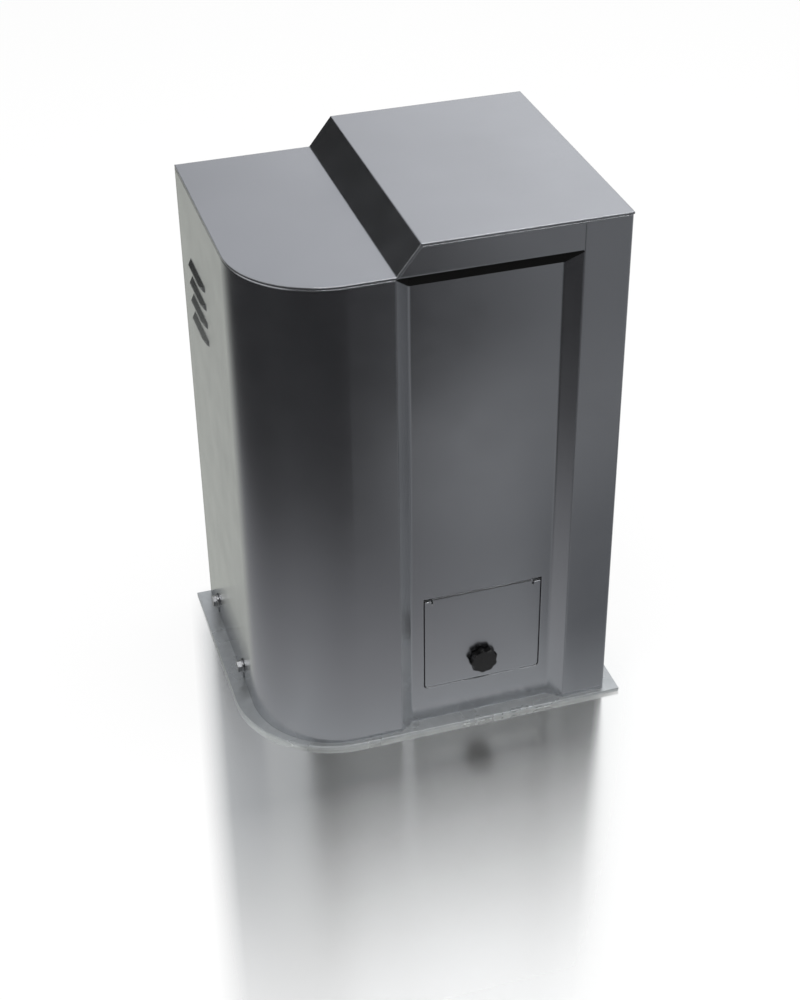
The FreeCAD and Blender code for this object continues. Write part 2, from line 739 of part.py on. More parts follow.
def cover_hood_front():
    """Front band of the hood, folded back at its lower and upper edges."""
    body = new_body("cover_hood_front")
    wall = dim.cover_sheet
    band = [
        line_to(under_low, low_under), line_to(recess_right, low_under),
        line_to(recess_right, high_under), line_to(under_high, high_under),
    ]
    pad(body, "XZ_Plane", [band], front, front + wall)
    clear = under_low + wall * dim.slope_run / slope_rise
    pad(body, "XY_Plane", [rectangle(clear, recess_right, front, panel_in)], low_under, low_under + wall)
    pad(body, "XY_Plane", [rectangle(under_high, recess_right, front, front + dim.edge_flange)],
        high_under - wall, high_under)

    def folded_edge(edge):
        level = flat_at(edge, "z", high_under) or flat_at(edge, "z", low_under)
        return level and flat_at(edge, "y", front)

    soften(body, dim.fold_radius - dim.bend_radius, folded_edge)
    return sub_part(body, "cover_hood_front")


def cover_rear_panel():
    """Rear wall with the open slot for the gearbox boss, and flanges to the other sheets."""
    body = new_body("cover_rear_panel")
    wall = dim.cover_sheet
    half = dim.boss_size / 2 + dim.slot_side_play
    crown = shaft_z + dim.slot_rise
    outline = [
        line_to(left, floor), line_to(shaft_x - half, floor), line_to(shaft_x - half, crown),
        arc_to(shaft_x, crown + half, half, -1), arc_to(shaft_x + half, crown, half, -1),
        line_to(shaft_x + half, floor), line_to(right, floor), line_to(right, high_under),
        line_to(under_high, high_under), line_to(under_low, low_under), line_to(left, low_under),
    ]
    pad(body, "XZ_Plane", [outline], rear_inside, rear)
    lap = rear_inside - dim.edge_flange
    pad(body, "XY_Plane", [rectangle(left_inside, left_inside + wall, lap, rear_inside)],
        floor, low_under - wall)
    pad(body, "XY_Plane", [rectangle(right_inside - wall, right_inside, lap, rear_inside)],
        floor, high_under - wall)
    pad(body, "XY_Plane", [rectangle(left + dim.edge_flange, slope_low, lap, rear_inside)],
        low_under - wall, low_under)
    pad(body, "XY_Plane", [rectangle(under_high, right - dim.edge_flange, lap, rear_inside)],
        high_under - wall, high_under)

    def folded_edge(edge):
        level = flat_at(edge, "z", high_under) or flat_at(edge, "z", low_under)
        return level and flat_at(edge, "y", rear)

    soften(body, dim.fold_radius - dim.bend_radius, folded_edge)
    return sub_part(body, "cover_rear_panel")


def cover_top_sheet():
    """Top sheet in one piece: low roof, slope and hood roof, with the round corner cut to the wall."""
    body = new_body("cover_top_sheet")
    profile = [
        line_to(left, low_under), line_to(under_low, low_under), line_to(under_high, high_under),
        line_to(right, high_under), line_to(right, dim.hood_height), line_to(slope_high, dim.hood_height),
        line_to(slope_low, dim.low_height), line_to(left, dim.low_height),
    ]
    pad(body, "XZ_Plane", [profile], front, rear)

    def bend(edge):
        low = flat_at(edge, "x", slope_low) and flat_at(edge, "z", dim.low_height)
        high = flat_at(edge, "x", slope_high) and flat_at(edge, "z", dim.hood_height)
        return low or high

    soften(body, dim.bend_radius, bend)
    radius = dim.corner_radius
    corner = [
        line_to(left, front), line_to(left + radius, front),
        arc_to(left, front + radius, radius, -1),
    ]
    pocket(body, "XY_Plane", [corner], low_under, dim.low_height)
    return sub_part(body, "cover_top_sheet")


# ---------------------------------------------------------------- inspection door
def door_panel():
    """Door plate whose top edge is rolled around the hinge rod."""
    body = new_body("door_panel")
    radius = dim.door_corner
    bottom = dim.door_bottom
    plate = [
        line_to(door_right - radius, bottom),
        arc_to(door_right, bottom + radius, radius, 1), line_to(door_right, hinge_z),
        line_to(door_left, hinge_z), line_to(door_left, bottom + radius),
        arc_to(door_left + radius, bottom, radius, 1),
    ]
    pad(body, "XZ_Plane", [plate], panel_out, door_in)
    half = dim.door_tab / 2
    curl = [
        line_to(door_in, hinge_z),
        arc_to(hinge_y, hinge_z + curl_bore, curl_bore, -1),
        arc_to(hinge_y + curl_bore, hinge_z, curl_bore, -1),
        arc_to(hinge_y, hinge_z - curl_bore, curl_bore, -1),
        line_to(hinge_y, hinge_z - curl_radius),
        arc_to(hinge_y + curl_radius, hinge_z, curl_radius, 1),
        arc_to(hinge_y, hinge_z + curl_radius, curl_radius, 1),
        arc_to(panel_out, hinge_z, curl_radius, 1),
    ]
    pad(body, "YZ_Plane", [curl], door_x - half, door_x + half)
    relief = dim.tab_relief
    notches = [
        rectangle(door_x + side * half - relief / 2, door_x + side * half + relief / 2,
                  hinge_z - relief * 2, hinge_z)
        for side in (-1, 1)
    ]
    pocket(body, "XZ_Plane", notches, panel_out, door_in)
    pocket(body, "XZ_Plane", [(door_x, knob_z, dim.stud_size / 2 + dim.stud_play)], panel_out, door_in)
    return sub_part(body, "door_panel")


def hinge_rod():
    """Steel rod through the rolled edge of the door."""
    reach = dim.door_gap * 2 + dim.lug_width
    rod = cylinder(dim.hinge_rod / 2, dim.door_width + reach * 2, (door_left - reach, hinge_y, hinge_z), "x")
    return sub_part(rod, "door_hinge_rod")


def hinge_lugs():
    """Two lugs welded behind the front panel, which hold the ends of the hinge rod."""
    body = new_body("door_hinge_lugs")
    low = hinge_z - dim.lug_rise / 2
    high = hinge_z + dim.lug_rise
    depth = panel_in + dim.lug_depth
    fall = dim.lug_rise / 2
    profile = [
        line_to(panel_in, low), line_to(depth, low), line_to(depth, high - fall),
        line_to(depth - fall, high), line_to(panel_in, high),
    ]
    seat = dim.hinge_rod / 2 + dim.fit_play
    profile += [
        line_to(panel_in, hinge_z + seat), line_to(hinge_y, hinge_z + seat),
        arc_to(hinge_y + seat, hinge_z, seat, -1), arc_to(hinge_y, hinge_z - seat, seat, -1),
        line_to(panel_in, hinge_z - seat),
    ]
    for low_x in (door_left - dim.door_gap * 2 - dim.lug_width, door_right + dim.door_gap * 2):
        pad(body, "YZ_Plane", [profile], low_x, low_x + dim.lug_width)
    return sub_part(body, "door_hinge_lugs")


def door_knob():
    """Lobed black knob with a collar and a stud through the door."""
    body = new_body("door_knob", (door_x, panel_out, knob_z), "y")
    size = dim.knob_size / 2
    collar = dim.collar_thick
    base = collar + dim.cam_play / 4
    turn(body, [
        line_to(0, -base - dim.knob_thick), line_to(size - dim.knob_bevel, -base - dim.knob_thick),
        line_to(size, -base - dim.knob_thick + dim.knob_bevel), line_to(size - dim.knob_bevel / 4, -base),
        line_to(dim.collar_size / 2, -base), line_to(dim.collar_size / 2, -dim.cam_play / 4),
        line_to(0, -dim.cam_play / 4),
    ])
    flute = pocket(body, "XY_Plane", [(size + dim.flute_size * 2 / 3, 0, dim.flute_size)],
                   -base - dim.knob_thick, -base)
    ring(body, flute, dim.knob_lobes)
    end = dim.cover_sheet + dim.cam_play + dim.cam_thick + dim.cam_nut_thick
    pad(body, "XY_Plane", [(0, 0, dim.stud_size / 2)], -dim.cam_play / 4, end)
    return sub_part(body, "door_knob")


def knob_cam():
    """Latch cam on the knob's stud; it lies across behind the door when the knob is released."""
    body = new_body("knob_cam", (door_x, panel_in + dim.cam_play, knob_z), "y")
    half = dim.cam_width / 2
    reach = dim.cam_length
    outline = [
        line_to(reach - half, -half), arc_to(reach, 0, half, 1),
        arc_to(reach - half, half, half, 1), line_to(0, half), arc_to(-half, 0, half, 1),
        arc_to(0, -half, half, 1),
    ]
    pad(body, "XY_Plane", [outline, (0, 0, dim.stud_size / 2 + dim.fit_play)], 0, dim.cam_thick)
    return sub_part(body, "knob_cam")


def knob_nut():
    """Nut that holds the cam on the stud."""
    low = panel_in + dim.cam_play + dim.cam_thick
    nut = hex_head(dim.cam_nut, dim.cam_nut_thick, (door_x, low, knob_z), "y")
    bore = cylinder(dim.stud_size / 2 + dim.fit_play, dim.cam_nut_thick, (door_x, low, knob_z), "y")
    return sub_part(cut(nut, [bore]), "knob_nut")


# ---------------------------------------------------------------- gearbox
def gear_housing():
    """Cast housing around the wheel and the worm, with feet, a long rear boss and a motor seat."""
    body = new_body("gear_housing", (worm_x, gear_y, 0))
    half = dim.gear_half
    reach = centre_distance
    tower = dim.high_bearing / 2 + dim.cast_wall
    outline = [
        line_to(-tower, case_bottom), line_to(reach, case_bottom),
        arc_to(reach + case_radius, shaft_z, case_radius, 1), arc_to(reach, case_top, case_radius, 1),
        line_to(-tower, case_top),
    ]
    pad(body, "XZ_Plane", [outline], -half, half)
    soften(body, dim.cast_wall, lambda edge: flat_at(edge, "x", -tower) and edge.BoundBox.ZLength > 1)
    foot = foot_outline()
    pad(body, "XY_Plane", [foot], floor, floor + dim.foot_thick)
    pad(body, "XY_Plane", [rounded(-tower, reach + tower, -half, half, dim.cast_wall)],
        floor, case_bottom + dim.cast_wall)
    boss = boss_end - gear_y
    pad(body, "XZ_Plane", [(reach, shaft_z, dim.boss_size / 2)], half, boss)
    rib = dim.cast_wall / 2
    rib_out = dim.boss_size / 2 + dim.cast_wall
    rib_end = rear_inside - dim.edge_flange - gear_y
    pad(body, "XY_Plane", [rectangle(reach - rib, reach + rib, half, rib_end)],
        shaft_z - rib_out, shaft_z + rib_out)
    pad(body, "XY_Plane", [rectangle(reach - rib_out, reach + rib_out, half, rib_end)],
        shaft_z - rib, shaft_z + rib)
    pad(body, "XY_Plane", [(0, 0, dim.motor_size / 2)], case_top, seat_top)
    pad(body, "XY_Plane", [rectangle(reach - dim.switch_width / 2, reach + dim.switch_width / 2,
                                     rib_end - dim.switch_depth, rib_end)],
        shaft_z, shaft_z + dim.boss_size / 2 + dim.cast_wall)
    pocket(body, "XZ_Plane", [(reach, shaft_z, cavity_radius)], -half, half - dim.rear_wall)
    rear_seat = dim.big_bearing / 2
    pocket(body, "XZ_Plane", [(reach, shaft_z, dim.shaft_size / 2 + dim.wheel_play)], 0, boss)
    pocket(body, "XZ_Plane", [(reach, shaft_z, rear_seat)],
           boss - dim.seal_width - dim.big_bearing_width, boss)
    worm_clear = dim.worm_size / 2 + dim.gear_module + dim.wheel_play
    low_seat = case_bottom + dim.cast_wall
    turn(body, [
        line_to(0, low_seat), line_to(dim.low_bearing / 2, low_seat),
        line_to(dim.low_bearing / 2, low_seat + dim.bearing_width),
        line_to(worm_clear, low_seat + dim.bearing_width),
        line_to(worm_clear, seat_top - dim.bearing_width),
        line_to(dim.high_bearing / 2, seat_top - dim.bearing_width),
        line_to(dim.high_bearing / 2, seat_top), line_to(0, seat_top),
    ], groove=True)
    bolts = [(x, y, dim.foot_bolt / 2 + dim.fit_play) for x, y in foot_spots()]
    pocket(body, "XY_Plane", bolts, floor, floor + dim.foot_thick)
    return sub_part(body, "gear_housing")


def foot_outline():
    """Outline of the feet around the worm axis, in the housing's own frame."""
    tower = dim.high_bearing / 2 + dim.cast_wall
    edge = dim.gear_half + dim.foot_reach
    return rounded(-tower - dim.foot_reach / 2, centre_distance + tower + dim.foot_reach, -edge, edge,
                   dim.foot_bolt)


def foot_spots():
    """Places of the four foot bolts, from the worm axis."""
    tower = dim.high_bearing / 2 + dim.cast_wall
    out = dim.gear_half + dim.foot_reach / 2
    inset = dim.foot_bolt / 2
    return [(x, y) for x in (inset - tower, centre_distance + tower + inset) for y in (-out, out)]


def foot_bolts():
    """Four hexagon bolts through the feet of the housing."""
    bolts = []
    top = floor + dim.foot_thick
    for x, y in foot_spots():
        head = hex_head(dim.bolt_across, dim.bolt_head, (worm_x + x, gear_y + y, top))
        shank = cylinder(dim.foot_bolt / 2, dim.foot_thick, (worm_x + x, gear_y + y, floor))
        bolts.append(fused([head, shank]))
    return bolts


def lid_spots():
    """Places of the lid screws around the wheel axis, clear of the open worm side."""
    radius = (cavity_radius + case_radius) / 2
    return [(radius * cosine(angle), radius * sine(angle)) for angle in (-80, -40, 0, 40, 80)]


def gearbox_lid():
    """Cast front lid with a stepped boss for the front bearing."""
    body = new_body("gearbox_lid", (shaft_x, case_front, shaft_z), "y")
    thick = dim.lid_thick
    bevel = dim.fold_radius
    boss = dim.big_bearing / 2 + dim.cast_wall
    depth = dim.big_bearing_width + dim.cast_wall
    shaft = dim.shaft_size / 2 + dim.wheel_play
    turn(body, [
        line_to(shaft, -depth), line_to(boss, -depth), line_to(boss + dim.cast_wall / 2, -thick),
        line_to(case_radius - bevel, -thick), line_to(case_radius, bevel - thick), line_to(case_radius, 0),
        line_to(dim.big_bearing / 2, 0), line_to(dim.big_bearing / 2, -dim.big_bearing_width),
        line_to(shaft, -dim.big_bearing_width),
    ])
    return sub_part(body, "gearbox_lid")


def gearbox_fasteners():
    """Socket screws of the lid, with the foot bolts."""
    screws = []
    for x, z in lid_spots():
        spot = (shaft_x + x, lid_front - dim.lid_screw_rise, shaft_z + z)
        head = cylinder(dim.lid_screw / 2, dim.lid_screw_rise, spot, "y")
        socket = hex_head(dim.lid_screw_socket, dim.lid_screw_rise / 2, spot, "y")
        screws.append(cut(head, [socket]))
    return sub_part(group(screws + foot_bolts()), "gearbox_fasteners")


def bearing(outer, bore, width, spot, axis="z"):
    """Sealed ball bearing, dished a little between its two rings on both sides."""
    body = new_body("bearing", spot, axis)
    outside = outer / 2 - dim.fit_play
    inside = bore / 2 + dim.fit_play
    middle = (inside + outside) / 2
    dip = width / 12
    turn(body, [
        line_to(inside, 0), line_to(middle, dip), line_to(outside, 0),
        line_to(outside, width), line_to(middle, width - dip), line_to(inside, width),
    ])
    return body


def bearings():
    """Two bearings of the output shaft, two of the worm and one at the motor's top."""
    width = dim.big_bearing_width
    front_spot = (shaft_x, case_front - width, shaft_z)
    rear_spot = (shaft_x, boss_end - dim.seal_width - width, shaft_z)
    pair = [bearing(dim.big_bearing, dim.shaft_size, width, spot, "y") for spot in (front_spot, rear_spot)]
    sub_part(group(pair), "shaft_bearings")
    low_spot = (worm_x, gear_y, case_bottom + dim.cast_wall)
    high_spot = (worm_x, gear_y, seat_top - dim.bearing_width)
    pair = [
        bearing(dim.low_bearing, dim.worm_shaft, dim.bearing_width, low_spot),
        bearing(dim.high_bearing, dim.worm_shaft, dim.bearing_width, high_spot),
    ]
    sub_part(group(pair), "worm_bearings")
    top_spot = (worm_x, gear_y, motor_levels()["upper"])
    top = bearing(dim.top_bearing, dim.motor_shaft, dim.top_bearing_width, top_spot)
    return sub_part(top, "motor_bearing")


def shaft_seal():
    """Lip seal at the outer end of the rear boss."""
    body = new_body("shaft_seal", (shaft_x, boss_end - dim.seal_width, shaft_z), "y")
    outer = dim.big_bearing / 2 - dim.fit_play
    inner = dim.shaft_size / 2 + dim.fit_play
    width = dim.seal_width
    turn(body, [
        line_to(inner, width / 3), line_to(inner + width / 3, 0), line_to(outer, 0),
        line_to(outer, width), line_to(inner + width, width), line_to(inner + width / 2, width / 2),
        line_to(inner, width * 2 / 3),
    ])
    return sub_part(body, "shaft_seal")


def oil_plugs():
    """Oil filler plug on the right of the case and drain plug low on the left tower."""
    size = dim.bolt_across
    thick = dim.bolt_head
    tower = dim.high_bearing / 2 + dim.cast_wall
    low = case_bottom + dim.cast_wall * 2
    drain = hex_head(size, thick, (worm_x - tower - thick, gear_y, low), "x")
    x = shaft_x + case_radius * sine(30)
    filler = hex_head(size, thick * 2, (x, gear_y, shaft_z + case_radius * cosine(30) - thick / 2))
    case = cylinder(case_radius + dim.fit_play, dim.gear_half * 2, (shaft_x, case_front, shaft_z), "y")
    return sub_part(group([drain, cut(filler, [case])]), "oil_plugs")


# ---------------------------------------------------------------- gears
PRESSURE_ANGLE = 20
DEDENDUM = 1.25
ROOT_LAP = 0.25


def tooth_outline(teeth, tip_radius, play, shift=0, curved=True):
    """One gear tooth across the X axis: involute flanks as arcs about the line of action, radial feet."""
    module = dim.gear_module
    pitch = module * teeth / 2
    base = pitch * cosine(PRESSURE_ANGLE)
    flank = pitch * sine(PRESSURE_ANGLE)
    thin = play / 2
    base_half = module * tooth_half(teeth, 0) - thin
    tip_half = module * tooth_half(teeth, 1) - thin
    deep = pitch - module * (DEDENDUM + ROOT_LAP)
    if curved:
        rising = arc_to(tip_radius, shift - tip_half, flank, 1)
        falling = arc_to(base, shift + base_half, flank, 1)
    else:
        rising = line_to(tip_radius, shift - tip_half)
        falling = line_to(base, shift + base_half)
    return [
        line_to(deep, shift - base_half), line_to(base, shift - base_half), rising,
        line_to(tip_radius, shift + tip_half), falling, line_to(deep, shift + base_half),
    ]


def tooth_half(teeth, addendum):
    """Half thickness of a standard tooth, in modules, at its base (0) or one module outside pitch (1)."""
    pitch = teeth.value / 2
    pressure = math.radians(PRESSURE_ANGLE)
    angle = math.pi / 4 / pitch + math.tan(pressure) - pressure
    if addendum == 0:
        return pitch * math.cos(pressure) * math.sin(angle)
    lean = math.acos(pitch * math.cos(pressure) / (pitch + addendum))
    return (pitch + addendum) * math.sin(angle - math.tan(lean) + lean)


def pinion():
    """Rack pinion with 18 straight teeth, a hub and a keyway."""
    low = boss_end + dim.pinion_gap
    body = new_body("pinion", (shaft_x, low, shaft_z), "y")
    module = dim.gear_module
    root = module * (dim.pinion_teeth / 2 - DEDENDUM)
    bore = dim.shaft_size / 2 + dim.fit_play
    hub = dim.pinion_hub / 2
    turn(body, [
        line_to(bore, -dim.pinion_gap / 2), line_to(hub, -dim.pinion_gap / 2), line_to(hub, 0),
        line_to(root, 0), line_to(root, dim.pinion_width), line_to(bore, dim.pinion_width),
    ])
    tip = module * (dim.pinion_teeth / 2 + 1)
    tooth = pad(body, "XY_Plane", [tooth_outline(dim.pinion_teeth, tip, dim.pinion_play)],
                0, dim.pinion_width)
    ring(body, tooth, dim.pinion_teeth)
    half = dim.key_width / 2 + dim.fit_play
    slot = dim.shaft_size / 2 + dim.key_height / 2 + dim.fit_play
    pocket(body, "XY_Plane", [rectangle(-half, half, 0, slot)], -dim.pinion_gap / 2, dim.pinion_width)
    return sub_part(body, "pinion")


def worm_lead():
    """Rise of the thread across its width, for each millimetre round the pitch circle."""
    return dim.gear_module / dim.worm_size


def worm_wheel():
    """Bronze wheel with slanted teeth and a web lightened by round holes."""
    body = new_body("worm_wheel", (shaft_x, gear_y, shaft_z), "y")
    module = dim.gear_module
    half = dim.wheel_width / 2
    root = wheel_pitch - module * DEDENDUM
    bore = dim.shaft_size / 2 + dim.fit_play
    rim = root - module * 2
    hub = dim.shaft_size
    web = half / 2
    turn(body, [
        line_to(bore, -half), line_to(hub, -half), line_to(hub, -web), line_to(rim, -web),
        line_to(rim, -half), line_to(root, -half), line_to(root, half), line_to(rim, half),
        line_to(rim, web), line_to(hub, web), line_to(hub, half), line_to(bore, half),
    ])
    shift = -half * worm_lead()
    outline = tooth_outline(dim.wheel_teeth, wheel_tip, dim.backlash, shift, curved=False)
    tooth = pad(body, "XY_Plane", [outline], -half, half)
    tooth.UseCustomVector = True
    tooth.AlongSketchNormal = True
    tooth.Direction = Vector(0, worm_lead().value, 1)
    document.recompute()
    ring(body, tooth, dim.wheel_teeth)
    hole = pocket(body, "XY_Plane", [((rim + hub) / 2, 0, (rim - hub) / 3)], -half, half)
    ring(body, hole, dim.wheel_holes)
    return sub_part(body, "worm_wheel")


def worm_shaft():
    """Worm cut from one long shaft that also carries the rotor and the fan."""
    low = case_bottom + dim.cast_wall
    body = new_body("worm_shaft", (worm_x, gear_y, shaft_z))
    module = dim.gear_module
    lead = module * math.pi
    length = lead * dim.worm_turns
    bearing_end = dim.worm_shaft / 2
    core = dim.worm_size / 2 - module * DEDENDUM
    rotor_end = dim.motor_shaft / 2
    top = motor_levels()["fan"] + dim.fan_width + dim.fold_radius - shaft_z
    shoulder = seat_top - dim.bearing_width - shaft_z
    seat = low + dim.bearing_width - shaft_z
    step = motor_levels()["housing"] - shaft_z
    turn(body, [
        line_to(0, low - shaft_z), line_to(bearing_end, low - shaft_z), line_to(bearing_end, seat),
        line_to(core, seat), line_to(core, shoulder), line_to(bearing_end, shoulder),
        line_to(bearing_end, step), line_to(rotor_end, step), line_to(rotor_end, top), line_to(0, top),
    ])
    slant = math.tan(math.radians(PRESSURE_ANGLE))
    foot = module * (math.pi / 4 + DEDENDUM * slant)
    crest = module * (math.pi / 4 - slant)
    tip = dim.worm_size / 2 + module
    deep = core - module * ROOT_LAP
    first = (lead - length) / 2
    thread = body.newObject("PartDesign::AdditiveHelix", "thread")
    outline = new_sketch(body, "XZ_Plane", 0, [[
        line_to(deep, first - foot), line_to(tip, first - crest),
        line_to(tip, first + crest), line_to(deep, first + foot),
    ]])
    thread.Profile = outline
    thread.ReferenceAxis = (outline, ["V_Axis"])
    thread.Mode = "pitch-height-angle"
    bind(thread, Pitch=lead, Height=length)
    body.Tip = thread
    document.recompute()
    return sub_part(body, "worm_shaft")


def output_shaft():
    """Keyed output shaft with a threaded end for the pinion bolt."""
    low = case_front - dim.big_bearing_width
    end = boss_end + dim.pinion_gap + dim.pinion_width
    body = new_body("output_shaft", (shaft_x, low, shaft_z), "y")
    radius = dim.shaft_size / 2
    bevel = dim.fold_radius / 2
    length = end - low
    turn(body, [
        line_to(0, 0), line_to(radius, 0), line_to(radius, length - bevel),
        line_to(radius - bevel, length), line_to(0, length),
    ])
    half = dim.key_width / 2
    slot = rectangle(-half, half, radius - dim.key_height / 2, radius + bevel)
    pocket(body, "XY_Plane", [slot], length - dim.pinion_width, length)
    return sub_part(body, "output_shaft")


def shaft_key():
    """Parallel key between the shaft and the pinion."""
    half = dim.key_width / 2 - dim.fit_play
    low = boss_end + dim.pinion_gap
    top = shaft_z - dim.shaft_size / 2 + dim.key_height / 2 - dim.fit_play
    return sub_part(block(half * 2, dim.pinion_width, dim.key_height - dim.fit_play * 2,
                          (shaft_x - half, low, top - dim.key_height + dim.fit_play * 2)), "shaft_key")


def pinion_retainer():
    """Thick washer and hexagon bolt on the shaft end."""
    end = boss_end + dim.pinion_gap + dim.pinion_width
    thick = dim.washer_thick * 2
    washer = cylinder(dim.pinion_hub / 2 - dim.fold_radius, thick, (shaft_x, end, shaft_z), "y")
    head = hex_head(dim.bolt_across, dim.bolt_head, (shaft_x, end + thick, shaft_z), "y")
    return sub_part(group([washer, head]), "pinion_retainer")


# ---------------------------------------------------------------- motor
def motor_levels():
    """Heights of the motor's stacked parts."""
    housing = seat_top + dim.shield_thick
    upper = housing + dim.stator_length
    middle = housing + (dim.stator_length - dim.core_length) / 2
    fan = upper + dim.shield_thick + dim.fan_width / 2
    return {"shield": seat_top, "housing": housing, "core": middle, "upper": upper, "fan": fan}


def end_shield(label, level, bore, seat_size, seat_depth, lower):
    """Cast end shield with a spigot into the stator housing and a bearing or shaft seat."""
    body = new_body(label, (worm_x, gear_y, level))
    radius = (dim.motor_size + dim.fin_height) / 2
    thick = dim.shield_thick
    inner = bore / 2
    seat = seat_size / 2
    if lower:
        turn(body, [line_to(inner, 0), line_to(radius, 0), line_to(radius, thick), line_to(inner, thick)])
    else:
        turn(body, [
            line_to(inner, thick), line_to(inner, seat_depth), line_to(seat, seat_depth),
            line_to(seat, 0), line_to(radius, 0), line_to(radius, thick),
        ])
    angle = 180 / VALUES["fin_count"]
    ear = dim.foot_bolt
    across = (rod_circle * cosine(angle), rod_circle * sine(angle))
    feature = pad(body, "XY_Plane", [(*across, ear)], 0, thick)
    ring(body, feature, dim.rod_count)
    hole = pocket(body, "XY_Plane", [(*across, dim.screw_thread / 2 + dim.fit_play)], 0, thick)
    ring(body, hole, dim.rod_count)
    return sub_part(body, label)


def stator_housing():
    """Aluminium tube with upright cooling fins all round."""
    body = new_body("stator_housing", (worm_x, gear_y, motor_levels()["housing"]))
    radius = dim.motor_size / 2
    length = dim.stator_length
    pad(body, "XY_Plane", [(0, 0, radius), (0, 0, dim.core_size / 2 + dim.fit_play)], 0, length)
    half = dim.fin_thick / 2
    root = radius - dim.fin_thick
    tip = radius + dim.fin_height
    fin = [line_to(root, -half), line_to(tip, -half / 2), line_to(tip, half / 2), line_to(root, half)]
    feature = pad(body, "XY_Plane", [fin], dim.fin_thick, length - dim.fin_thick)
    ring(body, feature, dim.fin_count)
    return sub_part(body, "stator_housing")


def stator_core():
    """Laminated stator core."""
    level = motor_levels()["core"]
    outer = cylinder(dim.core_size / 2, dim.core_length, (worm_x, gear_y, level))
    bore = cylinder(dim.rotor_size / 2 + dim.air_gap, dim.core_length, (worm_x, gear_y, level))
    return sub_part(cut(outer, [bore]), "stator_core")


def stator_windings():
    """End windings above and below the core."""
    body = new_body("stator_windings", (worm_x, gear_y, motor_levels()["core"]))
    inner = dim.rotor_size / 2 + dim.winding_length / 6
    outer = dim.core_size / 2 - dim.winding_length / 6
    bend = dim.winding_length / 3
    length = dim.winding_length
    for base, way in ((size_of(0), -1), (dim.core_length, 1)):
        end = base + length * way
        near = end - bend * way
        turn(body, [
            line_to(inner, base), line_to(outer, base), line_to(outer, near),
            line_to(outer - bend, end), line_to(inner + bend, end), line_to(inner, near),
        ])
    return sub_part(body, "stator_windings")


def rotor_core():
    """Squirrel-cage rotor with end rings."""
    body = new_body("rotor_core", (worm_x, gear_y, motor_levels()["core"]))
    radius = dim.rotor_size / 2
    inner = dim.motor_shaft / 2 + dim.fit_play
    ring_in = dim.rotor_ring / 2
    ring_out = radius - dim.air_gap * 4
    end = dim.winding_length / 3
    length = dim.core_length
    turn(body, [
        line_to(inner, 0), line_to(ring_in, 0), line_to(ring_in, -end), line_to(ring_out, -end),
        line_to(ring_out, 0), line_to(radius, 0), line_to(radius, length), line_to(ring_out, length),
        line_to(ring_out, length + end), line_to(ring_in, length + end),
        line_to(ring_in, length), line_to(inner, length),
    ])
    return sub_part(body, "rotor_core")


def cooling_fan():
    """Radial fan on the top end of the shaft."""
    body = new_body("cooling_fan", (worm_x, gear_y, motor_levels()["fan"]))
    inner = dim.motor_shaft / 2 + dim.fit_play
    hub = dim.motor_shaft
    rim = dim.fan_size / 2
    thick = dim.cowl_wall
    turn(body, [
        line_to(inner, 0), line_to(rim, 0), line_to(rim, thick), line_to(hub, thick * 2),
        line_to(hub, dim.fan_width), line_to(inner, dim.fan_width),
    ])
    blade = pad(body, "XY_Plane", [rectangle(hub - thick, rim, -thick / 2, thick / 2)],
                thick / 2, dim.fan_width - thick)
    ring(body, blade, dim.fan_blades)
    return sub_part(body, "cooling_fan")


def fan_cowl():
    """Pressed cowl over the fan with slots round its crown."""
    upper = motor_levels()["upper"]
    body = new_body("fan_cowl", (worm_x, gear_y, upper + dim.shield_thick))
    outer = dim.motor_size / 2
    wall = dim.cowl_wall
    rise = dim.cowl_rise
    bend = dim.fin_height
    turn(body, [
        line_to(outer - wall, 0), line_to(outer, 0), line_to(outer, rise - bend),
        line_to(outer - bend, rise), line_to(0, rise), line_to(0, rise - wall),
        line_to(outer - bend - wall / 2, rise - wall), line_to(outer - wall, rise - bend - wall / 2),
    ])
    start = dim.motor_shaft / 2 + dim.fin_height
    end = dim.fan_size / 2 - dim.fin_height
    half = dim.fin_thick
    slot = [
        line_to(start, -half), line_to(end, -half), arc_to(end + half, 0, half, 1),
        arc_to(end, half, half, 1), line_to(start, half),
    ]
    feature = pocket(body, "XY_Plane", [slot], rise - wall, rise)
    ring(body, feature, dim.cowl_slots)
    return sub_part(body, "fan_cowl")


def motor_rods():
    """Four tie rods with nuts that clamp the two end shields on the stator housing and the gearbox."""
    rods = []
    first = 180 / VALUES["fin_count"]
    top = motor_levels()["upper"] + dim.shield_thick
    for step in range(VALUES["rod_count"]):
        angle = first + step * 360 / VALUES["rod_count"]
        spot = (worm_x + rod_circle * cosine(angle), gear_y + rod_circle * sine(angle))
        rod = cylinder(dim.screw_thread / 2, top - seat_top + dim.nut_thick, (*spot, seat_top))
        nut = hex_head(dim.nut_size, dim.screw_head_thick, (*spot, top))
        rods.append(fused([rod, nut]))
    return sub_part(group(rods), "motor_tie_rods")


# ---------------------------------------------------------------- release
def cap_front():
    """Level of the front face of the release cap."""
    return case_front - dim.big_bearing_width - dim.cast_wall - dim.cap_depth


def release_cap():
    """Cast cap in front of the shaft end; it houses the clutch spring and guides the spindle."""
    low = cap_front()
    body = new_body("release_cap", (shaft_x, low, shaft_z), "y")
    depth = dim.cap_depth
    radius = dim.cap_size / 2
    wall = dim.cap_wall
    bore = dim.spindle_size / 2 + dim.fit_play
    turn(body, [
        line_to(bore, 0), line_to(radius - wall, 0), line_to(radius, wall), line_to(radius, depth - wall),
        line_to(radius + wall, depth - wall), line_to(radius + wall, depth), line_to(radius - wall, depth),
        line_to(radius - wall, wall), line_to(bore, wall),
    ])
    return sub_part(body, "release_cap")


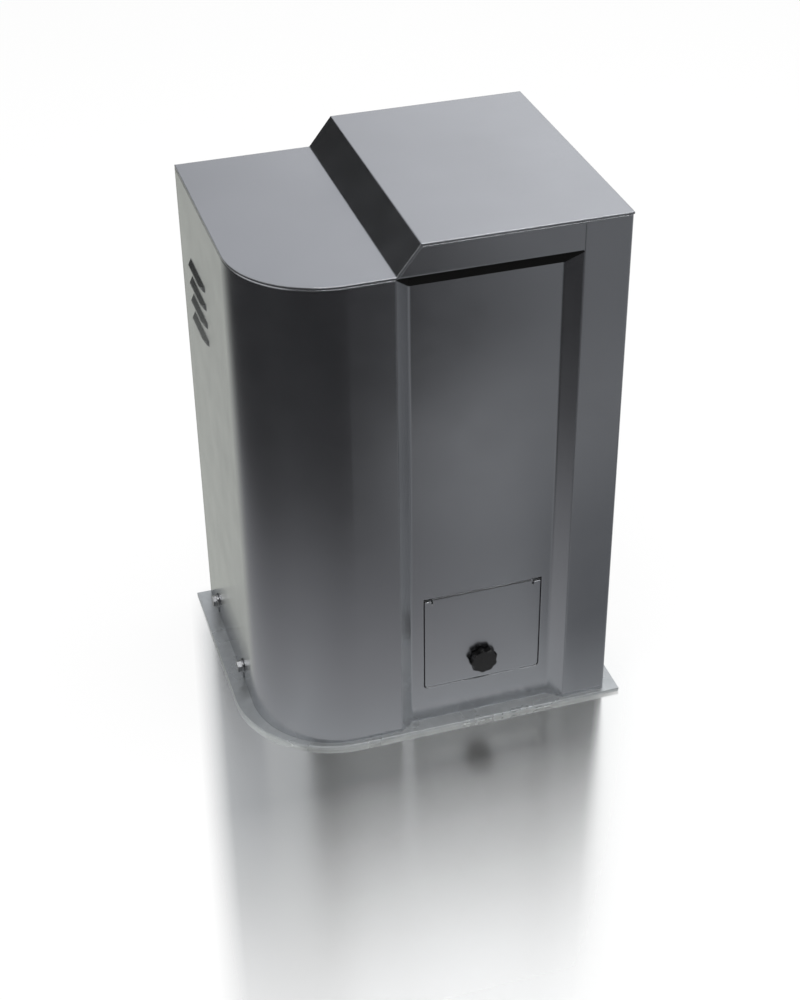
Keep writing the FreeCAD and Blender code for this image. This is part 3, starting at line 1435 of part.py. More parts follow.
def release_spindle():
    """Spindle from the lever to the clutch, with a collar that takes the spring."""
    front_end = cap_front() - dim.hub_depth
    body = new_body("release_spindle", (shaft_x, front_end, shaft_z), "y")
    radius = dim.spindle_size / 2
    collar = dim.disc_size / 2 - dim.collar_width
    end = dim.hub_depth + dim.cap_depth + dim.cast_wall / 2
    seat = dim.hub_depth + dim.cap_wall + dim.disc_pitch * dim.disc_count
    turn(body, [
        line_to(0, 0), line_to(radius, 0), line_to(radius, seat), line_to(collar, seat),
        line_to(collar, seat + dim.collar_width), line_to(radius, seat + dim.collar_width),
        line_to(radius, end), line_to(0, end),
    ])
    return sub_part(body, "release_spindle")


def release_lever():
    """Forged lever behind the inspection door: round hub with a flat arm."""
    back = cap_front() - dim.wall_play
    body = new_body("release_lever", (shaft_x, back - dim.hub_depth + dim.wall_play, shaft_z), "y")
    hub = dim.lever_hub / 2
    half = dim.lever_width / 2
    reach = dim.lever_reach
    depth = dim.hub_depth - dim.wall_play
    bore = dim.spindle_size / 2 + dim.fit_play
    pad(body, "XY_Plane", [(0, 0, hub), (0, 0, bore)], 0, depth)
    inner = (hub * hub - half * half).root() - dim.cast_wall / 2
    arm = [
        line_to(half, -inner), line_to(-half, -inner), line_to(-half, half - reach),
        arc_to(0, -reach, half, 1), arc_to(half, half - reach, half, 1),
    ]
    pad(body, "XY_Plane", [arm], 0, dim.lever_thick)
    return sub_part(body, "release_lever")


def lever_grip():
    """Plastic sleeve pushed over the end of the lever's arm."""
    depth = dim.grip_depth
    low = cap_front() - dim.hub_depth
    wall = dim.cowl_wall
    body = new_body("lever_grip", (shaft_x, low, shaft_z), "y")
    half = dim.lever_width / 2 + wall
    reach = dim.lever_reach + wall
    play = dim.fit_play

    def sleeve(side, end, start):
        return [
            line_to(side, -start), line_to(-side, -start), line_to(-side, side - end),
            arc_to(0, -end, side, 1), arc_to(side, side - end, side, 1),
        ]

    start = dim.lever_reach - depth
    pad(body, "XY_Plane", [sleeve(half, reach, start)], -wall, dim.lever_thick + wall)
    inside = dim.lever_width / 2 + play
    pocket(body, "XY_Plane", [sleeve(inside, dim.lever_reach + play, start)], -play, dim.lever_thick + play)
    return sub_part(body, "lever_grip")


def clutch_springs():
    """Stack of coned spring washers, turned against each other, between the cap and the spindle's collar."""
    discs = []
    outer = dim.disc_size / 2
    inner = dim.spindle_size / 2 + dim.fit_play
    thick = dim.disc_thick
    rise = dim.disc_pitch - thick
    for step in range(VALUES["disc_count"]):
        low = cap_front() + dim.cap_wall + dim.disc_pitch * step
        at_bore, at_rim = (0, rise) if step % 2 else (rise, 0)
        disc = new_body("disc", (shaft_x, low, shaft_z), "y")
        turn(disc, [
            line_to(inner, at_bore), line_to(outer, at_rim),
            line_to(outer, at_rim + thick), line_to(inner, at_bore + thick),
        ])
        discs.append(disc)
    return sub_part(group(discs), "clutch_springs")


def clutch_cone():
    """Cone clutch between the shaft and the wheel's hub."""
    low = gear_y - dim.wheel_width / 2 - dim.clutch_depth - dim.wall_play
    body = new_body("clutch_cone", (shaft_x, low, shaft_z), "y")
    bore = dim.shaft_size / 2 + dim.fit_play
    radius = dim.clutch_size / 2
    depth = dim.clutch_depth
    turn(body, [
        line_to(bore, 0), line_to(radius - dim.cast_wall, 0), line_to(radius, depth), line_to(bore, depth),
    ])
    return sub_part(body, "clutch_cone")


# ---------------------------------------------------------------- controls
def control_panel():
    """Upright sheet at the right that carries the electrical parts, on two feet folded out of it."""
    body = new_body("control_panel")
    face = dim.panel_side
    wall = dim.panel_sheet
    low_y = -dim.panel_front
    high_y = dim.panel_rear
    raised = floor + dim.bracket_foot
    outline = [
        line_to(low_y, floor), line_to(low_y + dim.panel_tab, floor), line_to(low_y + dim.panel_tab, raised),
        line_to(high_y - dim.panel_tab, raised), line_to(high_y - dim.panel_tab, floor),
        line_to(high_y, floor), line_to(high_y, dim.panel_top), line_to(low_y, dim.panel_top),
    ]
    pad(body, "YZ_Plane", [outline], face, face + wall)
    for start in (low_y, high_y - dim.panel_tab):
        tab = rectangle(face - dim.panel_foot, face, start, start + dim.panel_tab)
        pad(body, "XY_Plane", [tab], floor, floor + wall)
    for start in (low_y, high_y - wall):
        edge = rectangle(face - dim.panel_edge, face, start, start + wall)
        pad(body, "XY_Plane", [edge], case_top, dim.panel_top)
    holes = [(face - dim.panel_foot / 2, y, dim.screw_thread / 2 + dim.fit_play) for y in tab_middles()]
    pocket(body, "XY_Plane", holes, floor, floor + wall)
    pocket(body, "YZ_Plane", [(-dim.coil_front, dim.coil_height, dim.foot_bolt / 2 + dim.fit_play)],
           face, face + wall)
    return sub_part(body, "control_panel")


def tab_middles():
    return [-dim.panel_front + dim.panel_tab / 2, dim.panel_rear - dim.panel_tab / 2]


def board_start():
    """Front edge of the circuit board, which is centred on the panel."""
    return (dim.panel_rear - dim.panel_front - dim.board_width) / 2


def standoff_spots():
    """Places of the board's standoffs in the plane of the panel."""
    inset = dim.standoff
    low_y = board_start() + inset
    high_y = board_start() + dim.board_width - inset
    low_z = dim.board_bottom + inset
    high_z = dim.board_bottom + dim.board_height - inset
    return [(y, z) for y in (low_y, high_y) for z in (low_z, (low_z + high_z) / 2, high_z)]


def panel_fixings():
    """Hexagon standoffs of the board and the two screws of the panel's feet."""
    face = dim.panel_side + dim.panel_sheet
    pieces = [hex_head(dim.screw_thread, dim.standoff, (face, y, z), "x") for y, z in standoff_spots()]
    for y in tab_middles():
        x = dim.panel_side - dim.panel_foot / 2
        head = hex_head(dim.screw_head, dim.screw_head_thick, (x, y, floor + dim.panel_sheet))
        shank = cylinder(dim.screw_thread / 2, dim.panel_sheet, (x, y, floor))
        pieces.append(fused([head, shank]))
    return sub_part(group(pieces), "panel_fixings")


def circuit_board():
    """Printed circuit board."""
    body = new_body("circuit_board")
    low_x = dim.panel_side + dim.panel_sheet + dim.standoff
    start = board_start()
    outline = rounded(start, start + dim.board_width, dim.board_bottom,
                      dim.board_bottom + dim.board_height, dim.door_corner)
    pad(body, "YZ_Plane", [outline], low_x, low_x + dim.board_thick)
    return sub_part(body, "circuit_board")


def board_face():
    """Level of the board's outer side, which faces the right wall."""
    return dim.panel_side + dim.panel_sheet + dim.standoff + dim.board_thick


def board_relays():
    """Relays, a fuse holder, a smoothing capacitor and a heat sink on the board."""
    x = board_face()
    start = board_start() + dim.standoff * 3
    high = dim.board_bottom + dim.board_height
    relay = dim.relay_size
    pieces = [
        block(relay, relay, dim.relay_height,
              (x, start + (relay + dim.screw_thread) * step, high - relay * 3))
        for step in range(VALUES["relay_count"])
    ]
    far = board_start() + dim.board_width - dim.standoff * 4
    pieces.append(cylinder(relay / 2, relay, (x, far, high - relay * 2), "x"))
    fuse = high - relay * 4 - dim.standoff
    pieces.append(block(relay / 2, relay * 2, relay / 2, (x, start, fuse)))
    wall = dim.cowl_wall
    width = relay * 3
    sink_low = high - relay * 6
    sink_start = far - relay * 2
    gap = (width - wall) / (dim.sink_fins - 1)
    sink = [block(wall, width, relay * 2, (x, sink_start, sink_low))]
    sink += [
        block(relay, wall, relay * 2, (x + wall, sink_start + gap * step, sink_low))
        for step in range(VALUES["sink_fins"])
    ]
    pieces.append(fused(sink))
    return sub_part(group(pieces), "board_components")


def terminal_blocks():
    """Row of screw terminals along the board's lower edge."""
    body = new_body("terminal_blocks")
    x = board_face()
    start = board_start() + dim.standoff * 2
    length = dim.board_width - dim.standoff * 4
    low = dim.board_bottom + dim.standoff * 2
    depth = dim.standoff * 1.5
    pad(body, "XZ_Plane", [[
        line_to(x, low), line_to(x + depth, low), line_to(x + depth, low + depth / 2),
        line_to(x + depth / 2, low + depth), line_to(x, low + depth),
    ]], start, start + length)
    pitch = dim.standoff
    first = start + pitch / 2
    half = depth / 6
    mouth = rectangle(first - half, first + half, low + depth / 4 - half, low + depth / 4 + half)
    hole = pocket(body, "YZ_Plane", [mouth], x + depth / 2, x + depth)
    row(body, hole, "Y_Axis", dim.terminal_count, length - pitch)
    return sub_part(body, "terminal_blocks")


def transformer():
    """Toroidal transformer on the inner side of the panel."""
    low = dim.panel_side - dim.coil_thick
    body = new_body("transformer", (low, -dim.coil_front, dim.coil_height), "x")
    inner = dim.coil_bore / 2
    outer = dim.coil_size / 2
    bend = dim.coil_thick / 4
    thick = dim.coil_thick - dim.wall_play
    turn(body, [
        line_to(outer - bend, 0), line_to(outer, bend), line_to(outer, thick - bend),
        line_to(outer - bend, thick), line_to(inner + bend, thick),
        line_to(inner, thick - bend), line_to(inner, bend), line_to(inner + bend, 0),
    ])
    return sub_part(body, "transformer")


def component_clamps():
    """Dished washer with its bolt for the transformer, and the spring clip of the capacitor."""
    low = dim.panel_side - dim.coil_thick
    radius = dim.coil_bore / 2 + dim.coil_thick / 4
    thick = dim.cowl_wall
    spot = (low - thick - dim.wall_play, -dim.coil_front, dim.coil_height)
    disc = cylinder(radius + thick, thick, spot, "x")
    stem = cylinder(dim.foot_bolt / 2, dim.coil_thick + dim.panel_sheet + dim.wall_play,
                    (low - dim.wall_play, -dim.coil_front, dim.coil_height), "x")
    head = hex_head(dim.bolt_across, dim.bolt_head,
                    (low - thick - dim.wall_play - dim.bolt_head, -dim.coil_front, dim.coil_height), "x")
    clamp = fused([disc, stem, head])
    wall = dim.clip_wall
    can = dim.cap_can / 2 + dim.fit_play
    x, y = can_spot()
    bottom = dim.cap_can_bottom + dim.cap_can_height / 2 - dim.panel_edge / 2
    band = cylinder(can + wall, dim.panel_edge, (x, y, bottom))
    bore = cylinder(can, dim.panel_edge, (x, y, bottom))
    foot = block(wall, dim.cap_can + dim.panel_edge * 2, dim.panel_edge,
                 (dim.panel_side - wall, y - dim.cap_can / 2 - dim.panel_edge, bottom))
    clip = cut(fused([band, foot]), [bore])
    return sub_part(group([clamp, clip]), "component_clamps")


def can_spot():
    """Axis of the capacitor beside the panel."""
    return dim.panel_side - dim.clip_wall - dim.cap_can / 2 - dim.fit_play, dim.cap_can_rear


def run_capacitor():
    """Aluminium can of the motor's run capacitor with two tab terminals."""
    x, y = can_spot()
    body = new_body("run_capacitor", (x, y, dim.cap_can_bottom))
    radius = dim.cap_can / 2
    length = dim.cap_can_height
    bevel = dim.fold_radius
    turn(body, [
        line_to(0, 0), line_to(radius - bevel, 0), line_to(radius, bevel), line_to(radius, length - bevel),
        line_to(radius - bevel, length), line_to(radius - bevel * 2, length),
        line_to(radius - bevel * 2, length - bevel), line_to(0, length - bevel),
    ])
    tab = dim.clip_wall
    tabs = [rectangle(side * radius / 2 - tab / 2, side * radius / 2 + tab / 2, -tab * 2, tab * 2)
            for side in (-1, 1)]
    pad(body, "XY_Plane", tabs, length - bevel, length + bevel * 3)
    return sub_part(body, "run_capacitor")


# ---------------------------------------------------------------- limit switch
def switch_rear():
    """Level of the back of the switch body, just inside the cover's rear flanges."""
    return rear_inside - dim.edge_flange


def switch_bracket():
    """Folded stand that carries the switch above the rear boss."""
    body = new_body("switch_bracket")
    seat = shaft_z + dim.boss_size / 2 + dim.cast_wall
    wall = dim.bracket_sheet
    back = switch_rear()
    near = back - dim.switch_depth
    top = switch_low
    profile = [
        line_to(near, seat), line_to(back, seat), line_to(back, seat + wall),
        line_to(near + wall, seat + wall),
        line_to(near + wall, top - wall), line_to(back, top - wall), line_to(back, top), line_to(near, top),
    ]
    half = dim.switch_width / 2
    pad(body, "YZ_Plane", [profile], shaft_x - half, shaft_x + half)
    return sub_part(body, "switch_bracket")


def switch_body():
    """Plastic body of the limit switch, open at the back for the arm."""
    body = new_body("switch_body")
    half = dim.switch_width / 2
    back = switch_rear()
    near = back - dim.switch_depth
    low = switch_low
    high = low + dim.switch_rise
    pad(body, "XY_Plane", [rounded(shaft_x - half, shaft_x + half, near, back, dim.door_corner)], low, high)
    half_mouth = dim.limit_mouth
    middle = (low + high) / 2
    gap = dim.limit_coil / 2 + dim.cowl_wall
    wall = dim.bracket_sheet
    mouth = rectangle(shaft_x - half_mouth, shaft_x + half_mouth, back - dim.limit_mouth_depth, back)
    pocket(body, "XY_Plane", [mouth], middle - gap, middle + gap)
    pin = dim.limit_wire / 2 + dim.fit_play
    pocket(body, "XY_Plane", [(shaft_x, back - dim.limit_setback, pin)], low + wall, high)
    return sub_part(body, "switch_body")


def limit_axis():
    """Pivot of the limit switch arm, seen from above."""
    return shaft_x, switch_rear() - dim.limit_setback


def limit_arm():
    """Sprung arm on a pivot pin, with a tip that the stops on the rack push aside."""
    x, y = limit_axis()
    middle = dim.switch_rise / 2
    body = new_body("limit_arm", (x, y, switch_low + middle))
    gap = dim.limit_coil / 2 + dim.cowl_wall - dim.wall_play
    pin = dim.limit_wire / 2
    foot = dim.bracket_sheet + dim.wall_play - middle
    turn(body, [
        line_to(0, foot), line_to(pin, foot),
        line_to(pin, -gap), line_to(dim.limit_coil / 2, -gap), line_to(dim.limit_coil / 2, gap),
        line_to(pin, gap), line_to(pin, middle), line_to(0, middle),
    ])
    reach = dim.limit_reach
    tip = dim.limit_tip
    coil = dim.limit_coil / 2
    pad(body, "XZ_Plane", [(0, 0, pin)], 0, reach)
    start = dim.limit_spring_start
    pad(body, "XZ_Plane", [(0, 0, coil)], start, start + dim.limit_spring)
    pad(body, "XZ_Plane", [(0, 0, coil - dim.wall_play * 3)], reach - tip, reach)
    return sub_part(body, "limit_arm")


# ---------------------------------------------------------------- build, check and write
def check_model():
    """Stop if any object failed or any sub-part has no valid solid."""
    document.recompute()
    for item in document.Objects:
        if "Invalid" in item.State or "Error" in item.State:
            raise RuntimeError(f"{item.Label} failed: {item.State}")
    labels = [item.Label for item in sub_parts]
    if len(set(labels)) != len(labels):
        raise RuntimeError("two sub-parts share a name")
    for item in sub_parts:
        shape = item.Shape
        if shape.isNull() or not shape.isValid() or not shape.Solids:
            raise RuntimeError(f"{item.Label} has no valid solid")


def main():
    base_plate()
    levelling_screws()
    cable_grommet()
    earth_stud()
    side_bracket(-1)
    side_bracket(1)
    cover_fasteners()
    cover_left_shell()
    cover_right_shell()
    cover_recess_panel()
    cover_hood_front()
    cover_rear_panel()
    cover_top_sheet()
    door_panel()
    hinge_rod()
    hinge_lugs()
    door_knob()
    knob_cam()
    knob_nut()
    gear_housing()
    gearbox_lid()
    gearbox_fasteners()
    bearings()
    shaft_seal()
    oil_plugs()
    pinion()
    worm_wheel()
    worm_shaft()
    output_shaft()
    shaft_key()
    pinion_retainer()
    levels = motor_levels()
    end_shield("lower_shield", levels["shield"], dim.worm_shaft + dim.fold_radius, dim.worm_shaft, 0, True)
    end_shield("upper_shield", levels["upper"], dim.motor_shaft + dim.fold_radius, dim.top_bearing,
               dim.top_bearing_width, False)
    stator_housing()
    stator_core()
    stator_windings()
    rotor_core()
    cooling_fan()
    fan_cowl()
    motor_rods()
    release_cap()
    release_spindle()
    release_lever()
    lever_grip()
    clutch_springs()
    clutch_cone()
    control_panel()
    panel_fixings()
    circuit_board()
    board_relays()
    terminal_blocks()
    transformer()
    component_clamps()
    run_capacitor()
    switch_bracket()
    switch_body()
    limit_arm()
    check_model()
    os.makedirs("parts", exist_ok=True)
    for item in sub_parts:
        item.Shape.exportStep(f"parts/{item.Label}.step")


main()
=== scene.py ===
"""Sliding gate motor: looks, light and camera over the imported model. All lengths are metres."""

import json
import math

import bmesh
import bpy
from mathutils import Matrix, Vector

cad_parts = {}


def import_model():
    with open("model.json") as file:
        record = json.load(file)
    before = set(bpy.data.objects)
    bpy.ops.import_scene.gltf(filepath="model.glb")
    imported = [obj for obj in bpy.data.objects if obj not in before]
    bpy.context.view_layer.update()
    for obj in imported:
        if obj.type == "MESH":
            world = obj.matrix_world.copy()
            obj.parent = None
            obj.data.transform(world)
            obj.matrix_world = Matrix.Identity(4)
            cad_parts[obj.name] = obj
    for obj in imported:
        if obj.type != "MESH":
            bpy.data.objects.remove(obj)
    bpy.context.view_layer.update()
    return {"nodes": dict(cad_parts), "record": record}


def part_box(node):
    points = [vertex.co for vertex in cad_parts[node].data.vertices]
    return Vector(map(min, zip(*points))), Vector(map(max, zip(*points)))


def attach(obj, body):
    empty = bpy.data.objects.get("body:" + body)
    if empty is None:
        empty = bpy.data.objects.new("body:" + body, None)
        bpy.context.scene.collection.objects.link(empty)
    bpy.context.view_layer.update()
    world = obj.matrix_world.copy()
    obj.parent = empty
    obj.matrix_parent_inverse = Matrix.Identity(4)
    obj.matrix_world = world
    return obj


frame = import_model()

# Camera of the studio view: metres, degrees, and millimetres for the lens.
CAMERA_SPOT = (-0.4101, -1.3607, 1.1474)
CAMERA_AZIMUTH = -16.83
CAMERA_ELEVATION = 34.53
CAMERA_ROLL = -0.757
CAMERA_LENS = 66.47

# The cover's front plane and side walls, and the point where its round corner starts at the left wall.
FRONT_LINE = float(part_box("cover_right_shell")[0][1])
LEFT_WALL = float(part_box("cover_rear_panel")[0][0])
RIGHT_WALL = float(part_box("cover_rear_panel")[1][0])
CORNER_RADIUS = 0.082
CORNER_START = (LEFT_WALL, FRONT_LINE + CORNER_RADIUS)

# The floor, and the two slanted edges of its glossy patch: a point on each, and its lean in X per metre of Y.
# The leans follow the sight lines of the studio view, as fixed places on the floor.
FLOOR_HALF = 20.0
PATCH_LEFT = (LEFT_WALL, 0.15, 0.165)
PATCH_RIGHT = (RIGHT_WALL, FRONT_LINE, 0.464)

# The patch's full share of gloss, and where it fades: over Y at the near and far end, and over the distance
# to the right of each slanted edge. Left of DEEP_SIDE the far end lies farther back, beside the object.
PATCH_GLOSS = 0.95
NEAR_FADE = (-0.58, -0.18)
FAR_FADE = (-0.13, -0.05)
LEFT_FADE = (-0.02, 0.004)
RIGHT_FADE = (-0.01, 0.04)
DEEP_SIDE = -0.05
DEEPER_BY = 0.2

# Tones of the front card against the distance from the object, from the object outwards.
DARK_TONES = [
    (0.0, (0.56, 0.57, 0.58)), (0.07, (0.42, 0.42, 0.43)), (0.2, (0.26, 0.26, 0.27)),
    (0.35, (0.1, 0.1, 0.103)), (0.5, (0.055, 0.055, 0.057)), (0.8, (0.038, 0.038, 0.04)),
]
PLAIN_TONES = [
    (0.0, (0.5, 0.51, 0.52)), (0.1, (0.37, 0.375, 0.385)), (0.2, (0.315, 0.32, 0.33)),
    (0.3, (0.35, 0.355, 0.365)), (0.45, (0.42, 0.425, 0.435)), (0.8, (0.36, 0.365, 0.375)),
]
STRIPE_TONES = [
    (0.0, (0.4, 0.41, 0.42)), (0.1, (0.19, 0.195, 0.205)), (0.3, (0.22, 0.225, 0.235)),
    (0.45, (0.34, 0.345, 0.355)), (0.65, (0.25, 0.255, 0.265)),
]
SIDE_TONE = (0.6, 0.615, 0.57)

# The front card lies just above the floor and ends under the object, over X at the left and Y in front.
CARD_HALF = 3.0
CARD_HEIGHT = 0.002
CARD_LEFT_END = (LEFT_WALL, -0.13)
CARD_FRONT_END = (FRONT_LINE, 0.02)

# Its dark tones reach right to a border whose X changes over a span of Y. The plain tones follow, and then
# the stripe's, whose edge moves to the right for each metre ahead, as in the studio view.
DARK_BORDER_X = (0.3, 0.03)
DARK_BORDER_Y = (-0.80, -0.58)
DARK_BLEND = (0, 0.1)
STRIPE_BLEND = (0.105, 0.135)
STRIPE_SLANT = 0.3

# Degrees of turn_about over which the tone beside the left wall turns into the tones in front.
SIDE_BLEND = (-138, -110)


# ---------------------------------------------------------------- node helpers
def new_material(name):
    """A new material with nodes, its tree and its Principled shader."""
    material = bpy.data.materials.new(name)
    material.use_nodes = True
    tree = material.node_tree
    shader = tree.nodes["Principled BSDF"]
    return material, tree, shader


def add(tree, kind, **settings):
    node = tree.nodes.new(kind)
    for name, value in settings.items():
        setattr(node, name, value)
    return node


def place_coordinates(tree, stretch=(1, 1, 1), turn=(0, 0, 0)):
    """Object coordinates in metres, stretched and turned."""
    source = add(tree, "ShaderNodeTexCoord")
    mapping = add(tree, "ShaderNodeMapping")
    mapping.inputs["Scale"].default_value = stretch
    mapping.inputs["Rotation"].default_value = turn
    tree.links.new(source.outputs["Object"], mapping.inputs["Vector"])
    return mapping.outputs["Vector"]


def noise(tree, scale, detail=3.0, stretch=(1, 1, 1)):
    node = add(tree, "ShaderNodeTexNoise")
    node.inputs["Scale"].default_value = scale
    node.inputs["Detail"].default_value = detail
    tree.links.new(place_coordinates(tree, stretch), node.inputs["Vector"])
    return node.outputs["Fac"]


def spread(tree, factor, low, high, start=0.3, end=0.7):
    """Map a texture value from start..end to low..high."""
    node = add(tree, "ShaderNodeMapRange")
    node.inputs["From Min"].default_value = start
    node.inputs["From Max"].default_value = end
    node.inputs["To Min"].default_value = low
    node.inputs["To Max"].default_value = high
    tree.links.new(factor, node.inputs["Value"])
    return node.outputs["Result"]


def ramp(tree, factor, stops):
    """Colour ramp over (place, colour) stops."""
    node = add(tree, "ShaderNodeValToRGB")
    while len(node.color_ramp.elements) < len(stops):
        node.color_ramp.elements.new(0.5)
    for element, (spot, colour) in zip(node.color_ramp.elements, stops):
        element.position = spot
        element.color = (*colour, 1)
    tree.links.new(factor, node.inputs["Fac"])
    return node.outputs["Color"]


def rounded_normal(tree, shader, radius, heights=()):
    """Soft edges from the Bevel node, with bumps (texture value, depth in metres) on top."""
    bevel = add(tree, "ShaderNodeBevel", samples=4)
    bevel.inputs["Radius"].default_value = radius
    normal = bevel.outputs["Normal"]
    for height, depth in heights:
        bump = add(tree, "ShaderNodeBump")
        bump.inputs["Distance"].default_value = depth
        tree.links.new(height, bump.inputs["Height"])
        tree.links.new(normal, bump.inputs["Normal"])
        normal = bump.outputs["Normal"]
    tree.links.new(normal, shader.inputs["Normal"])


def calc(tree, operation, *terms):
    """One maths node over sockets and plain numbers."""
    node = add(tree, "ShaderNodeMath", operation=operation)
    for socket, term in zip(node.inputs, terms):
        if isinstance(term, (int, float)):
            socket.default_value = term
        else:
            tree.links.new(term, socket)
    return node.outputs["Value"]


def product(tree, *factors):
    """All the factors multiplied together."""
    total = factors[0]
    for factor in factors[1:]:
        total = calc(tree, "MULTIPLY", total, factor)
    return total


def mixed(tree, factor, first, second):
    """Blend of two colours, each a socket or plain numbers."""
    blend = add(tree, "ShaderNodeMix", data_type="RGBA")
    tree.links.new(factor, blend.inputs["Factor"])
    for name, colour in (("A", first), ("B", second)):
        if isinstance(colour, tuple):
            blend.inputs[name].default_value = (*colour, 1)
        else:
            tree.links.new(colour, blend.inputs[name])
    return blend.outputs["Result"]


def shade(colour, factor):
    return tuple(channel * factor for channel in colour)


# ---------------------------------------------------------------- materials
def cover_paint():
    """Satin metallic grey coat: soft mottling of the flakes under a thin clear layer."""
    material, tree, shader = new_material("cover_paint")
    colour = (0.395, 0.405, 0.425)
    drift = noise(tree, 9, 2)
    tone = ramp(tree, drift, [(0.3, shade(colour, 0.97)), (0.7, shade(colour, 1.03))])
    tree.links.new(tone, shader.inputs["Base Color"])
    shader.inputs["Metallic"].default_value = 1.0
    tree.links.new(spread(tree, noise(tree, 30, 3), 0.23, 0.27), shader.inputs["Roughness"])
    shader.inputs["Coat Weight"].default_value = 0.15
    shader.inputs["Coat Roughness"].default_value = 0.08
    rounded_normal(tree, shader, 0.0015, [(noise(tree, 45, 1), 0.00002)])
    return material


def zinc():
    """Zinc coating with faint spangle and slightly cloudy gloss."""
    material, tree, shader = new_material("zinc_steel")
    colour = (0.46, 0.48, 0.49)
    cells = add(tree, "ShaderNodeTexVoronoi")
    cells.inputs["Scale"].default_value = 160
    tree.links.new(place_coordinates(tree), cells.inputs["Vector"])
    tone = ramp(tree, cells.outputs["Color"], [(0.1, shade(colour, 0.95)), (0.9, shade(colour, 1.04))])
    tree.links.new(tone, shader.inputs["Base Color"])
    shader.inputs["Metallic"].default_value = 0.72
    clouds = noise(tree, 25, 3)
    tree.links.new(spread(tree, clouds, 0.25, 0.32), shader.inputs["Roughness"])
    rounded_normal(tree, shader, 0.0006)
    return material


def machined(name, colour, roughness):
    """Ground or turned metal with fine tool marks, close together along X."""
    material, tree, shader = new_material(name)
    marks = noise(tree, 60, 4, (40, 1, 1))
    tone = ramp(tree, marks, [(0.3, shade(colour, 0.85)), (0.7, shade(colour, 1.08))])
    tree.links.new(tone, shader.inputs["Base Color"])
    shader.inputs["Metallic"].default_value = 1.0
    tree.links.new(spread(tree, marks, roughness - 0.06, roughness + 0.08), shader.inputs["Roughness"])
    rounded_normal(tree, shader, 0.0004, [(marks, 0.00002)])
    return material


def cast_alloy():
    """Sand-cast aluminium: grainy skin, dull, with patchy tone."""
    material, tree, shader = new_material("cast_alloy")
    grain = noise(tree, 900, 3)
    patches = noise(tree, 25, 4)
    tone = ramp(tree, patches, [(0.3, (0.36, 0.365, 0.37)), (0.7, (0.5, 0.505, 0.51))])
    tree.links.new(tone, shader.inputs["Base Color"])
    shader.inputs["Metallic"].default_value = 0.85
    tree.links.new(spread(tree, grain, 0.42, 0.6), shader.inputs["Roughness"])
    rounded_normal(tree, shader, 0.0012, [(grain, 0.00012), (patches, 0.0002)])
    return material


def plastic(name, colour, roughness, grain_depth=0.00003, specular=0.5, edge=0.0004):
    """Moulded plastic or rubber with a fine texture and slight colour drift."""
    material, tree, shader = new_material(name)
    drift = noise(tree, 40, 3)
    tone = ramp(tree, drift, [(0.3, shade(colour, 0.9)), (0.7, shade(colour, 1.1))])
    tree.links.new(tone, shader.inputs["Base Color"])
    tree.links.new(spread(tree, noise(tree, 300, 2), roughness - 0.04, roughness + 0.05),
                   shader.inputs["Roughness"])
    shader.inputs["Specular IOR Level"].default_value = specular
    rounded_normal(tree, shader, edge, [(noise(tree, 1400, 2), grain_depth)])
    return material


def laminated_core():
    """Stacked sheets of the motor's core, seen as fine rings."""
    material, tree, shader = new_material("core_steel")
    wave = add(tree, "ShaderNodeTexWave", bands_direction="Z")
    wave.inputs["Scale"].default_value = 300
    tree.links.new(place_coordinates(tree), wave.inputs["Vector"])
    tone = ramp(tree, wave.outputs["Fac"], [(0.2, (0.06, 0.06, 0.065)), (0.8, (0.2, 0.2, 0.21))])
    tree.links.new(tone, shader.inputs["Base Color"])
    shader.inputs["Metallic"].default_value = 0.8
    shader.inputs["Roughness"].default_value = 0.45
    rounded_normal(tree, shader, 0.0003, [(wave.outputs["Fac"], 0.0001)])
    return material


def copper_wire():
    """Varnished winding wire."""
    material, tree, shader = new_material("copper_wire")
    strands = noise(tree, 90, 3, (1, 1, 14))
    tone = ramp(tree, strands, [(0.35, (0.22, 0.07, 0.03)), (0.65, (0.6, 0.25, 0.11))])
    tree.links.new(tone, shader.inputs["Base Color"])
    shader.inputs["Metallic"].default_value = 0.9
    shader.inputs["Roughness"].default_value = 0.35
    rounded_normal(tree, shader, 0.0005, [(strands, 0.0004)])
    return material


def board_green():
    """Solder resist over copper tracks, with rows of bright pads."""
    material, tree, shader = new_material("board_green")
    tracks = add(tree, "ShaderNodeTexBrick")
    tracks.inputs["Scale"].default_value = 90
    tracks.inputs["Mortar Size"].default_value = 0.09
    tracks.inputs["Color1"].default_value = (0.012, 0.1, 0.04, 1)
    tracks.inputs["Color2"].default_value = (0.015, 0.12, 0.05, 1)
    tracks.inputs["Mortar"].default_value = (0.03, 0.22, 0.09, 1)
    quarter = math.radians(90)
    tree.links.new(place_coordinates(tree, turn=(quarter, 0, quarter)), tracks.inputs["Vector"])
    pads = add(tree, "ShaderNodeTexVoronoi")
    pads.inputs["Scale"].default_value = 210
    tree.links.new(place_coordinates(tree), pads.inputs["Vector"])
    dots = ramp(tree, pads.outputs["Distance"], [(0.16, (1, 1, 1)), (0.2, (0, 0, 0))])
    tone = mixed(tree, dots, tracks.outputs["Color"], (0.5, 0.5, 0.48))
    tree.links.new(tone, shader.inputs["Base Color"])
    shader.inputs["Roughness"].default_value = 0.3
    rounded_normal(tree, shader, 0.0002, [(tracks.outputs["Fac"], 0.00005)])
    return material


